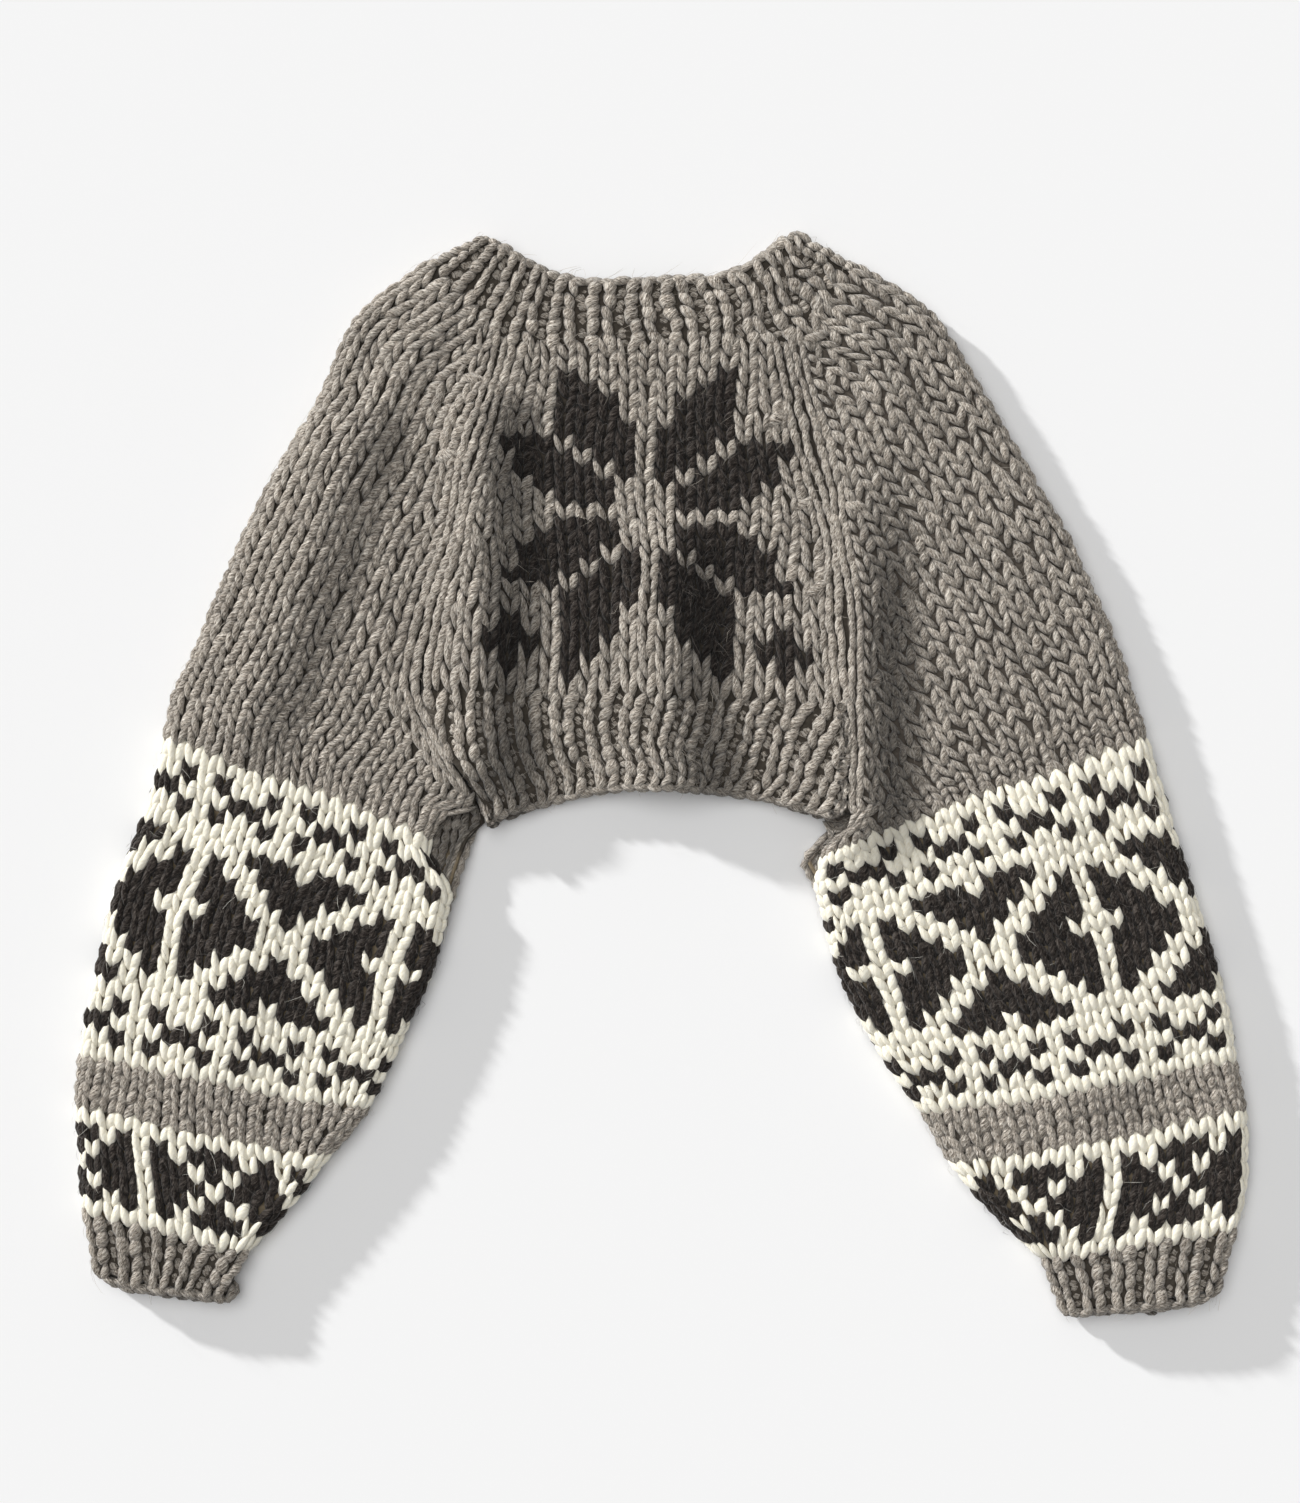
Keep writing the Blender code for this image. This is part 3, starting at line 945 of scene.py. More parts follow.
class Strand(Enum):
    """The three forms that a length of yarn is made from, by the sides and rings of its ball."""

    LEG = (8, 6)
    UNDER_LEG = (6, 4)
    FIBRE = (3, 4)

    @staticmethod
    def stitch(upper: bool) -> str:
        """The name of the form of a layer's stitches."""
        return (Strand.LEG if upper else Strand.UNDER_LEG).name

    def ball(self) -> tuple[np.ndarray, list[tuple[int, ...]], list[tuple[Pair, ...]]]:
        """Makes the ball that is stretched into each length.

        Returns:
            Its vertices, with the poles along Y, its faces, and each corner's place round and along.
        """
        sides, rings = self.value
        ball = bmesh.new()
        bmesh.ops.create_uvsphere(ball, u_segments=sides, v_segments=rings, radius=1.0)
        bmesh.ops.rotate(ball, verts=ball.verts, cent=(0, 0, 0), matrix=Matrix.Rotation(-math.pi / 2, 3, "X"))
        ball.verts.ensure_lookup_table()
        vertices = np.array([v.co for v in ball.verts])
        outlines = []
        for face in ball.faces:
            middle = face.calc_center_median()
            at = math.atan2(-middle.x, -middle.z) / math.tau + 0.5
            outline = []
            for v in face.verts:
                turn = at  # a pole lies straight below its face's middle
                if abs(v.co.y) < 0.999:
                    turn = math.atan2(-v.co.x, -v.co.z) / math.tau + 0.5
                    turn += round(at - turn)
                outline.append((v.index, (turn, (1.0 - v.co.y) / 2)))
            outlines.append(outline)
        ball.free()
        outlines.sort()  # the operator lists the faces in another order from run to run
        faces = [tuple(index for index, _ in outline) for outline in outlines]
        return vertices, faces, [tuple(place for _, place in outline) for outline in outlines]


@dataclass(frozen=True)
class LegStyle:
    """How the two legs of a stitch lie in it, seen with its rows downwards.

    Places across are shares of the wale from its middle, places down shares of the row, and the rest
    is in millimetres. The wool is spun so that the left legs slant more than the right ones.
    """

    left: Pair = (-0.49, -0.03)  # the left leg's top and its foot
    right: Pair = (0.42, 0.1)
    down: Pair = (-0.62, 1.12)  # where both start and end
    wide: Pair = (2.95, 3.45)  # half the width of each
    thick: float = 2.9  # half the thickness of both
    depth: float = -2.9  # of their middle below the cloth's face
    dive: Pair = (2.6, 2.3)  # how far their top and foot dip further
    bow: Pair = (0.3, 0.4)  # how far each bends outwards
    wale: float = 13.8  # the width of stitch that all this is for
    loose: float = 1.0  # how unevenly they lie
    slims: float = 1.0  # how much a slanting stitch narrows


PLAIN = LegStyle()
SPLAYED = LegStyle(
    left=(-0.52, 0.0),
    right=(0.47, 0.06),
    down=(-0.5, 1.05),
    wide=(2.9, 3.2),
    thick=2.7,
    dive=(2.0, 1.9),
    loose=1.7,
)
BAND = LegStyle(left=(-0.47, -0.05), right=(0.41, 0.1), wide=(3.0, 3.35), depth=-2.8, wale=12.2, slims=0.4)
EDGE = LegStyle(
    left=(-0.31, -0.2),
    right=(0.31, 0.21),
    down=(-0.6, 1.2),
    wide=(3.3, 3.5),
    bow=(0.1, 0.1),
    wale=13.0,
)
RIB = LegStyle(
    left=(-0.39, -0.12),
    right=(0.36, 0.16),
    down=(-0.45, 1.08),
    wide=(3.8, 4.1),
    thick=3.3,
    depth=-3.0,
    wale=17.5,
    slims=0.0,
)


class Yarns:
    """Many lengths of yarn on one surface, each from one (s, u, out) to another."""

    def __init__(self) -> None:
        """Starts with none."""
        self.parts: dict[str, list[np.ndarray]] = {}

    def add(
        self,
        start: np.ndarray,
        end: np.ndarray,
        wide: np.ndarray | float,
        thick: np.ndarray | float,
        dive: Pair,
        bow: np.ndarray | float,
        kind: np.ndarray | str,
        wool: np.ndarray | str = Wool.GREY.value,
        loose: float = 1.0,
    ) -> None:
        """Adds lengths.

        Args:
            start, end: where each starts and ends.
            wide, thick: half its width and half its thickness.
            dive: how far its two ends dip into the cloth.
            bow: how far its middle bends aside.
            kind: the name of its form.
            wool: the letter of its yarn.
            loose: how much it strays from its place.
        """
        wholes = {"start": start, "end": end, "dive": dive}
        singles = {"wide": wide, "thick": thick, "bow": bow, "kind": kind, "wool": wool, "loose": loose}
        for key, value in (wholes | singles).items():
            given = np.asarray(value)
            shape = (len(start), given.shape[-1]) if key in wholes else (len(start),)
            self.parts.setdefault(key, []).append(np.broadcast_to(given, shape).copy())

    def all(self) -> dict[str, np.ndarray]:
        """Every length, as one array a property."""
        return {key: np.concatenate(values) for key, values in self.parts.items()}


@dataclass
class Cells:
    """Stitches of one style: where each starts and ends down the cloth and its corners across."""

    SIZES = (0.66, 1.12)  # the least and the greatest of a leg, as shares of its style's
    PLUMP_CREAM = 1.06  # the cream wool's legs are a little wider and flatter

    style: LegStyle
    rows: list[tuple[float, ...]] = field(default_factory=list)
    wool: list[str] = field(default_factory=list)
    kind: list[str] = field(default_factory=list)

    def add(self, s: Pair, top: Pair, low: Pair, wool: Wool, upper: bool) -> None:
        """Adds one stitch.

        Args:
            s: the distances down the piece that it starts and ends at.
            top, low: the u of its two corners there.
            wool: its yarn.
            upper: its layer.
        """
        if top[0] + low[0] > top[1] + low[1]:
            top, low = top[::-1], low[::-1]
        self.rows.append((*s, *top, *low))
        self.wool.append(wool.value)
        self.kind.append(Strand.stitch(upper))

    def lay(self, yarns: Yarns, hand: float) -> None:
        """Turns every stitch into its two legs.

        Args:
            yarns: where they go.
            hand: 1 where u counts to the viewer's right.
        """
        start, end, top_left, top_right, low_left, low_right = np.array(self.rows).T
        style, height = self.style, end - start
        top_middle, shift = (top_left + top_right) / 2, ((low_left + low_right) - (top_left + top_right)) / 2
        top_wide, low_wide = top_right - top_left, low_right - low_left
        lean = shift / height * style.slims
        plump = np.where(np.array(self.wool) == Wool.CREAM.value, self.PLUMP_CREAM, 1.0)
        size = np.clip((top_wide + low_wide) / 2 / style.wale / np.sqrt(1.0 + lean**2), *self.SIZES) * plump
        thick = style.thick * (2.0 - plump)
        for across, half_wide, bow in zip((style.left, style.right), style.wide, style.bow):
            ends = []
            for down, share in zip(style.down, across):
                wide = top_wide + (low_wide - top_wide) * min(max(down, 0.0), 1.0)
                u = top_middle + shift * down + hand * share * wide
                ends.append(np.stack([start + height * down, u, np.full_like(u, style.depth)], axis=1))
            side = hand * (1.0 if across[0] > 0 else -1.0)
            kinds, wools = np.array(self.kind), np.array(self.wool)
            yarns.add(*ends, half_wide * size, thick, style.dive, side * bow, kinds, wools, style.loose)


def placed(name: str, mesh: bpy.types.Mesh, material: bpy.types.Material, slot: str) -> bpy.types.Object:
    """Makes a piece of the garment from its finished mesh.

    Args:
        name: the new object's name.
        mesh: its mesh, in the part's frame.
        material: what dresses it.
        slot: the record's slot that it belongs to; not used.

    Returns:
        The new object.
    """
    mesh.shade_smooth()
    mesh.materials.append(material)
    made = bpy.data.objects.new(name, mesh)
    bpy.context.scene.collection.objects.link(made)
    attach(made, "root")
    return made


@dataclass(frozen=True)
class Unevenness:
    """How far lengths of yarn stray from where the charts put them, in millimetres or as shares."""

    place: tuple[float, float, float] = (0.7, 0.6, 0.35)  # down the piece, round it and out of it
    wide: float = 0.09
    thick: float = 0.05
    bow: float = 0.25
    # Waves in which rows and wales wander together: height, length down and round the piece, and start
    round_waves: tuple[tuple[float, ...], ...] = ((1.3, 29.0, 61.0, 0.0), (0.9, 13.0, -23.0, 2.0))
    down_waves: tuple[tuple[float, ...], ...] = ((1.3, 67.0, 31.0, 1.0), (0.8, -37.0, 14.0, 0.0))

    @staticmethod
    def wander(waves: tuple[tuple[float, ...], ...], s: np.ndarray, u: np.ndarray) -> np.ndarray:
        """How far these waves move the cloth at these places."""
        return sum(high * np.sin(s / down + u / across + start) for high, down, across, start in waves)


@dataclass(frozen=True)
class LooseFibres:
    """The fibres that stand out of the upper layer's yarn, in millimetres where they are sizes."""

    per_leg: float = 0.85
    dark_weight: float = 1.6  # the dark wool's stand out more
    half_wide: Pair = (0.07, 0.12)
    shortest: float = 2.0
    light: Pair = (0.55, 1.1)  # of their wool's own colour


@dataclass(frozen=True)
class Drawing:
    """How a ball is drawn out into a length of yarn, and how the painted shade on it falls off."""

    neck: float = 0.6  # its width at its start, as a share of the full one
    swell: float = 0.85  # how fast it widens along its length
    dip: float = 2.2  # the power by which its ends dip
    under: float = 0.5  # the share of its colour that painted shade leaves on its under side
    under_run: Pair = (-0.7, 1.2)  # where on the ball, and over what height, that fades
    tip_loss: float = 0.3  # of its colour that painted shade takes at its two tips
    tip_start: float = 0.62  # the share of the way from its middle where that starts


class Knitter:
    """Makes the meshes: every length of yarn bent with the cloth, joined by yarn."""

    UNEVEN = Unevenness()
    LOOSE = LooseFibres()
    DRAWING = Drawing()
    REPEAT = 16.5  # millimetres of yarn to one repeat of its twist
    PROBE = 1.5  # millimetres to each side over which the cloth's own scale is read

    def __init__(self, materials: Materials, seed: int) -> None:
        """Keeps the materials and starts the fixed sequence of irregularities that this seed gives."""
        self.materials = materials
        self.random = np.random.default_rng(seed)

    def knit(self, name: str, surface: Surface, yarns: Yarns) -> list[bpy.types.Object]:
        """Makes one mesh for each yarn of a piece, and one for its loose fibres.

        Args:
            name: the piece's name.
            surface: the cloth that the yarns lie on.
            yarns: their places.

        Returns:
            The new objects.
        """
        lengths = yarns.all()
        self._vary(lengths)
        made = []
        for wool in Wool:
            parts = []
            for kind in (Strand.LEG, Strand.UNDER_LEG):
                chosen = (lengths["wool"] == wool.value) & (lengths["kind"] == kind.name)
                if chosen.any():
                    some = {key: value[chosen] for key, value in lengths.items()}
                    parts.append(self._bent(surface, some, kind))
            if parts:
                slot, material = FINISHES[wool].name, self.materials.yarn(wool)
                made.append(self._mesh(f"{name}_{slot}_stitches", parts, material, slot))
        if (lengths["kind"] == Strand.LEG.name).any():
            fibres = self._fibres(lengths)
            parts, material = [self._bent(surface, fibres, Strand.FIBRE)], self.materials.fuzz()
            made.append(self._mesh(f"{name}_fuzz", parts, material, "grey_wool", self._tints(fibres)))
        return made

    def _vary(self, lengths: dict[str, np.ndarray]) -> None:
        """Moves, turns and thickens each length a little, as hand knitting does.

        Args:
            lengths: the yarns, which are changed in place.
        """
        count, uneven = len(lengths["wide"]), self.UNEVEN
        for key in ("start", "end"):
            moved = self.random.normal(0.0, 1.0, (count, 3)) * uneven.place
            lengths[key] += moved * lengths["loose"][:, None]
        lengths["wide"] *= self.random.normal(1.0, uneven.wide, count)
        lengths["thick"] *= self.random.normal(1.0, uneven.thick, count)
        lengths["bow"] += self.random.normal(0.0, uneven.bow, count)

    def _fibres(self, lengths: dict[str, np.ndarray]) -> dict[str, np.ndarray]:
        """Loose fibres that stand out of the upper layer's yarn.

        Args:
            lengths: the yarns they come from.

        Returns:
            The fibres, as lengths of their own.
        """
        upper = np.flatnonzero(lengths["kind"] == Strand.LEG.name)
        count = int(len(upper) * self.LOOSE.per_leg)
        weight = np.where(lengths["wool"][upper] == Wool.DARK.value, self.LOOSE.dark_weight, 1.0)
        picked = self.random.choice(upper, count, p=weight / weight.sum())
        t = self.random.uniform(0.1, 0.9, (count, 1))
        start = lengths["start"][picked] * (1 - t) + lengths["end"][picked] * t
        start[:, 2] += lengths["thick"][picked] * 0.8
        start[:, 1] += self.random.normal(0.0, 1.6, count)
        run = lengths["end"][picked] - lengths["start"][picked]
        way = np.arctan2(run[:, 1], run[:, 0]) + self.random.normal(0.0, 0.9, count)
        reach = self.random.gamma(5.0, 1.5, count) + self.LOOSE.shortest
        rise = self.random.normal(0.6, 0.7, count)
        end = start + np.stack([np.cos(way) * reach, np.sin(way) * reach, rise], axis=1)
        thin = self.random.uniform(*self.LOOSE.half_wide, count)
        # Each arches: it is raised, and its two ends dip back
        arch = self.random.gamma(2.0, 0.45, count)
        end[:, 2] += arch
        start[:, 2] += arch
        return {
            "start": start,
            "end": end,
            "wide": thin,
            "thick": thin,
            "dive": np.stack([arch, arch], axis=1),
            "bow": self.random.normal(0.0, 1.6, count),
            "wool": lengths["wool"][picked],
            "kind": np.full(count, Strand.FIBRE.name),
        }

    def _tints(self, fibres: dict[str, np.ndarray]) -> np.ndarray:
        """The colour of each loose fibre."""
        base = np.array([FINISHES[Wool(letter)].fuzz for letter in fibres["wool"]])
        return base * self.random.uniform(*self.LOOSE.light, (len(base), 1))

    @staticmethod
    def _bent(surface: Surface, lengths: dict[str, np.ndarray], kind: Strand) -> tuple:
        """Bends a ball into each length.

        Args:
            surface: the cloth that they lie on.
            lengths: their places and sizes.
            kind: their form.

        Returns:
            Vertices of every length in metres, the ball's faces and corners, each one's length, and shades.
        """
        ball, faces, corners = kind.ball()
        ball = ball * (surface.hand, 1.0, 1.0)
        t = ((1.0 - ball[:, 1]) / 2)[None, :]
        run = lengths["end"] - lengths["start"]
        middle = (lengths["start"] + lengths["end"]) / 2
        side_s, side_u, span = Knitter._across(surface, middle, run)
        uneven, drawing = Knitter.UNEVEN, Knitter.DRAWING
        taper = np.minimum(1.0, drawing.neck + drawing.swell * t)
        aside = ball[None, :, 0] * taper * lengths["wide"][:, None] + lengths["bow"][:, None] * 4 * t * (1 - t)
        s = lengths["start"][:, :1] + run[:, :1] * t + side_s[:, None] * aside
        u = lengths["start"][:, 1:2] + run[:, 1:2] * t + side_u[:, None] * aside
        tips = np.abs(2 * t - 1)
        dive = np.where(t < 0.5, lengths["dive"][:, :1], lengths["dive"][:, 1:]) * tips**drawing.dip
        out = lengths["start"][:, 2:] + run[:, 2:] * t + ball[None, :, 2] * lengths["thick"][:, None] - dive
        wander_u, wander_s = (uneven.wander(waves, s, u) for waves in (uneven.round_waves, uneven.down_waves))
        points = surface.place(s + wander_s, u + wander_u, out)
        points[..., 2] = np.maximum(points[..., 2], FLOOR_GAP * MM)
        # Painted shade: the yarn is darker low in the cloth, at its tips, in the creases and where the cloth
        # falls away from the light; it is also darker over the cuffs
        start, run_up = drawing.under_run
        low = drawing.under + (1.0 - drawing.under) * smooth((ball[None, :, 2] - start) / run_up)
        ends = 1.0 - drawing.tip_loss * smooth((tips - drawing.tip_start) / (1.0 - drawing.tip_start))
        return points, faces, corners, span, low * ends * PAINTED_SHADE_AND_DARK_CUFFS.light(points)

    @staticmethod
    def _across(surface: Surface, middle: np.ndarray, run: np.ndarray) -> tuple[np.ndarray, ...]:
        """The direction across each length, measured on the cloth itself.

        Args:
            surface: the cloth.
            middle: the place of each length's middle.
            run: how far each goes.

        Returns:
            The steps in s and in u that go one millimetre aside, and each one's true length.
        """
        s = np.clip(middle[:, 0], 2.0, surface.length - 2.0)
        wide = np.where(middle[:, 1] >= 0, surface.width(s, True), surface.width(s, False))
        u = np.sign(middle[:, 1] + 1e-9) * np.clip(np.abs(middle[:, 1]), 3.0, wide - 3.0)
        probe, unit = Knitter.PROBE, 2 * Knitter.PROBE * MM
        down = (surface.place(s + probe, u, 0.0) - surface.place(s - probe, u, 0.0)) / unit
        right = (surface.place(s, u + probe, 0.0) - surface.place(s, u - probe, 0.0)) / unit
        e, f, g = (down * down).sum(axis=1), (down * right).sum(axis=1), (right * right).sum(axis=1)
        a, b = run[:, 0], run[:, 1]
        side_s, side_u = -(a * f + b * g), a * e + b * f
        size = np.sqrt(np.maximum(side_s**2 * e + 2 * side_s * side_u * f + side_u**2 * g, 1e-12))
        return side_s / size, side_u / size, np.sqrt(np.maximum(a**2 * e + 2 * a * b * f + b**2 * g, 1e-12))

    def _mesh(
        self,
        name: str,
        parts: list[tuple],
        material: bpy.types.Material,
        slot: str,
        tints: np.ndarray | None = None,
    ) -> bpy.types.Object:
        """Joins many lengths into one mesh with its maps and its material.

        Args:
            name: the new object's name.
            parts: sets of lengths, each with vertices, faces, corners, spans and shades.
            material: what dresses it.
            slot: the record's slot that it belongs to; passed on, but not used.
            tints: a colour for each length.

        Returns:
            The new object.
        """
        points, sizes, indices, yarn_uv, bake_uv, legs, shades = [], [], [], [], [], [], []
        total = sum(len(part[0]) for part in parts)
        across = math.ceil(math.sqrt(total))
        start = cell = 0
        for vertices, faces, corners, span, shade in parts:
            count, each = vertices.shape[:2]
            flat = np.array([k for face in faces for k in face])
            uv = np.array([c for corner in corners for c in corner])
            number = np.arange(cell, cell + count)
            spot = np.stack([number % across, number // across], axis=1).astype(float)
            local = np.clip(uv * 0.84 + 0.08, 0.02, 0.98)
            bake_uv.append(((spot[:, None, :] + local[None]) / across).reshape(-1, 2))
            along = np.ones((count, 1, 2))
            along[:, 0, 1] = span / self.REPEAT
            yarn_uv.append((uv[None] * along).reshape(-1, 2))
            indices.append((start + (np.arange(count) * each)[:, None] + flat[None]).ravel())
            sizes.append(np.tile([len(face) for face in faces], count))
            points.append(vertices.reshape(-1, 3))
            legs.append(np.repeat(self.random.random(count), each))
            shades.append(shade.ravel())
            start += count * each
            cell += count
        mesh = bpy.data.meshes.new(name)
        where, loops, counts = np.concatenate(points), np.concatenate(indices), np.concatenate(sizes)
        mesh.vertices.add(len(where))
        mesh.vertices.foreach_set("co", where.ravel())
        mesh.loops.add(len(loops))
        mesh.loops.foreach_set("vertex_index", loops)
        mesh.polygons.add(len(counts))
        mesh.polygons.foreach_set("loop_start", np.concatenate([[0], np.cumsum(counts)[:-1]]))
        mesh.update(calc_edges=True)
        for title, values in (("OFBake", bake_uv), ("Yarn", yarn_uv)):
            layer = mesh.uv_layers.new(name=title)
            layer.data.foreach_set("uv", np.concatenate(values).ravel())
        for title, values in (("leg", legs), ("shade", shades)):
            mark = mesh.attributes.new(title, "FLOAT", "POINT")
            mark.data.foreach_set("value", np.concatenate(values))
        if tints is not None:
            mark = mesh.attributes.new("tint", "FLOAT_COLOR", "POINT")
            full = np.concatenate([tints, np.ones((len(tints), 1))], axis=1)
            mark.data.foreach_set("color", np.repeat(full, len(where) // len(tints), axis=0).ravel())
        mesh.validate()
        triangles = sum(len(p.vertices) - 2 for p in mesh.polygons)
        log.info("%s: %d lengths, %d triangles", name, total, triangles)
        return placed(name, mesh, material, slot)


@dataclass(frozen=True)
class GroundWithPaintedShade:
    """Ground colour down a piece, the wool's own colour darkened with painted shade of the gaps between the
    stitches: one for plain knitting and one behind the patterned bands.
    """

    bands: tuple[Pair, ...]
    plain: Colour = (0.10, 0.085, 0.068)
    patterned: Colour = (0.30, 0.24, 0.16)

    def at(self, s: float) -> Colour:
        """The ground colour at this distance down the piece."""
        inside = any(low <= s <= high for low, high in self.bands)
        return self.patterned if inside else self.plain


class Shell:
    """The thin shell of cloth under a piece's stitches."""

    DEPTH = 5.8  # of its face below the cloth's, in millimetres
    THICK = 2.0  # millimetres
    ROW_STEP = 8.0  # between its rows, in millimetres
    COLUMN_STEP = 3  # grid columns to a face

    def __init__(self, materials: Materials) -> None:
        """Keeps the materials."""
        self.materials = materials

    def make(self, name: str, surface: Surface, tints: GroundWithPaintedShade, trim: float) -> bpy.types.Object:
        """Makes the shell of one piece and stands it for the piece's solid.

        Args:
            name: the node it replaces.
            surface: the piece's form.
            tints: its ground colour down the piece.
            trim: how far it stops short of the piece's lower end, in millimetres.

        Returns:
            The new object.
        """
        spread = surface.SPREAD
        first = 0 if surface.has_under else spread
        last = 2 * spread if surface.has_upper else spread
        columns = list(range(first, last + 1, self.COLUMN_STEP))
        if surface.ring:
            columns = columns[:-1]
        stations = np.linspace(0.0, surface.length - trim, max(3, int(surface.length / self.ROW_STEP) + 1))
        turns = np.array(columns) / spread - 1.0
        work = bmesh.new()
        colour = work.loops.layers.float_color.new("tint")
        grids, row_of = [], {}
        for depth in (self.DEPTH, self.DEPTH + self.THICK):
            grid = []
            for s in stations:
                wide = np.where(turns >= 0, surface.width(s, True), surface.width(s, False))
                line = surface.place(np.full(len(turns), s), turns * wide, -depth)
                grid.append([work.verts.new(p) for p in line])
                row_of.update((vertex, float(s)) for vertex in grid[-1])
            grids.append(grid)
        face, back = grids
        count, rows = len(columns), len(stations) - 1
        # Each column with the one after it, which in a ring is the first again
        pairs = [(j, (j + 1) % count) for j in range(count if surface.ring else count - 1)]
        for i in range(rows):
            for j, k in pairs:
                work.faces.new((face[i][j], face[i][k], face[i + 1][k], face[i + 1][j]))
                work.faces.new((back[i][j], back[i + 1][j], back[i + 1][k], back[i][k]))
        for i in (0, rows):
            for j, k in pairs:
                work.faces.new((face[i][j], back[i][j], back[i][k], face[i][k]))
        for j in () if surface.ring else (0, count - 1):
            for i in range(rows):
                work.faces.new((face[i][j], face[i + 1][j], back[i + 1][j], back[i][j]))
        bmesh.ops.recalc_face_normals(work, faces=work.faces)
        # Each corner takes its row's ground colour, the wool darkened with painted shade of the gaps between
        # the stitches
        for polygon in work.faces:
            for loop in polygon.loops:
                loop[colour] = (*tints.at(row_of[loop.vert]), 1.0)
        mesh = bpy.data.meshes.new(name + "_cloth")
        work.to_mesh(mesh)
        work.free()
        made = placed(name + "_cloth", mesh, self.materials.painted_shade_ground(), "grey_wool")
        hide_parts(name)
        return made


# The charts of a sleeve's bands, a letter a stitch, counted across from the vertical line in the middle
# of a diamond. Each repeats round the sleeve, and BANDS gives the rows that they start at, down from the
# first cream row, and whether they belong to the small band.
CREAM_ROWS = (0, 4, 15, 19, 24, 30)
LATTICE = (
    "ooo###o###oo",
    "o#oo#####oo#",
    "o##oo###oo##",
    "o###oo#oo###",
    "oo###ooo###o",
    "o####ooo####",
    "o###oo#oo###",
    "o##oo###oo##",
    "o#oo#####oo#",
    "ooo###o###oo",
)
BORDER = (
    "#oo#o",
    "o##oo",
    "#oo#o",
)
SMALL_BAND = (
    "o#o###o#",
    "o##o#o##",
    "o###o###",
    "o##o#o##",
    "o#o###o#",
)
BANDS = ((1, BORDER, False), (5, LATTICE, False), (16, BORDER, False), (25, SMALL_BAND, True))
# The back's motif: an eight-point star with a small diamond at each side below it
STAR = (
    "....#.......#....",
    "....##.....##....",
    "....###...###....",
    "....###...###....",
    "....####.####....",
    ".###.###.###.###.",
    "..###.##.##.###..",
    "..####.#.#.####..",
    "...####...####...",
    "....###...###....",
    ".................",
    "....###...###....",
    "...####...####...",
    "..####.#.#.####..",
    "..###.##.##.###..",
    ".###.###.###.###.",
    "....####.####....",
    "....###...###....",
    ".#..###...###..#.",
    "###.##.....##.###",
    ".#..#.......#..#.",
)


def charted(row: int, wale: int, first_row: int, spine: int, small_spine: int) -> Wool:
    """The yarn of a sleeve's stitch.

    Args:
        row, wale: the stitch's row from the neck rib and wale from the outer fold.
        first_row: the row where the large band starts.
        spine: the wale of the large band's vertical line.
        small_spine: the wale of the small band's vertical line.

    Returns:
        The yarn it is knitted in.
    """
    line = row - first_row
    if line in CREAM_ROWS:
        return Wool.CREAM
    for start, chart, is_small in BANDS:
        if start <= line < start + len(chart):
            letters = chart[line - start]
            return Wool(letters[(wale - (small_spine if is_small else spine)) % len(letters)])
    return Wool.GREY


@dataclass(frozen=True)
class Gauge:
    """Sizes of the knitting, in millimetres."""

    wale: float = 13.8
    band_wale: float = 12.2
    edge: float = 13.0  # width of the line of stitches along a raglan line

    @staticmethod
    def spots(wide: float, pitch: float, count: int) -> np.ndarray:
        """Shares a width out among wales.

        Args:
            wide: the width.
            pitch: the width of a wale.
            count: number of wales.

        Returns:
            Their edges, with what is left over taken up by the last two.
        """
        at = np.arange(count + 1) * pitch
        left = wide - count * pitch
        at[-1] += left
        if count > 1:
            at[-2] += 0.4 * left
        return at


GAUGE = Gauge()


class Garment:
    """A piece of the garment: its surface, its shell and its stitches."""

    def __init__(self, name: str, surface: Surface, knitter: Knitter) -> None:
        """Keeps what the piece is made from.

        Args:
            name: its solid's name.
            surface: its form.
            knitter: what makes its stitches and holds the materials.
        """
        self.name = name
        self.surface = surface
        self.knitter = knitter
        self.cells: dict[LegStyle, Cells] = {}
        self.yarns = Yarns()
        self.tints = GroundWithPaintedShade(())
        self.trim = 0.0

    def stitch(self, style: LegStyle, s: Pair, top: Pair, low: Pair, wool: Wool, upper: bool) -> None:
        """Adds a stitch between two distances down the piece, with the u of its corners."""
        self.cells.setdefault(style, Cells(style)).add(s, top, low, wool, upper)

    def slanted(self, start: Pair, end: Pair, upper: bool) -> None:
        """Adds a long stitch that slants over others where a wale is gained at a raglan line.

        Args:
            start, end: the s and u of its ends.
            upper: its layer.
        """
        ends = [np.array([(*spot, out)]) for spot, out in ((start, -2.4), (end, -2.2))]
        self.yarns.add(*ends, wide=3.9, thick=3.0, dive=(3.0, 2.4), bow=0.5, kind=Strand.stitch(upper))

    def chain(self, s: float, links: int, upper: bool, out: float, wide: float) -> None:
        """A row of cast-off stitches along an edge.

        Args:
            s: the distance of the row down the piece.
            links: number of stitches on the layer.
            upper: the layer.
            out: how far out of the cloth they lie, in millimetres.
            wide: half the width of each.
        """
        side = 1.0 if upper else -1.0
        pitch = float(self.surface.width(s, upper)) / links
        at = (np.arange(links) + 0.5) * pitch * side
        ends = [
            np.stack([np.full(links, s + 0.9 * way), at + 0.66 * way * pitch, np.full(links, out)], axis=1)
            for way in (-1.0, 1.0)
        ]
        self.yarns.add(*ends, wide, thick=2.6, dive=(1.6, 1.6), bow=0.0, kind=Strand.stitch(upper))

    def finish(self, flat: Pair, rests_on: list[str], area: float | None = None) -> None:
        """Args:
            flat: width and length it was knitted to, in metres; not used.
            rests_on: what it lies on; not used.
            area: its flat area in square metres, where it isn't a rectangle; not used.
        """
        for cells in self.cells.values():
            cells.lay(self.yarns, self.surface.hand)
        shell = Shell(self.knitter.materials).make(self.name, self.surface, self.tints, self.trim)
        parts = self.knitter.knit(self.name, self.surface, self.yarns)
        stitches = sum(len(cells.rows) for cells in self.cells.values())
        log.info("%s: cloth and %d stitches", self.name, stitches)


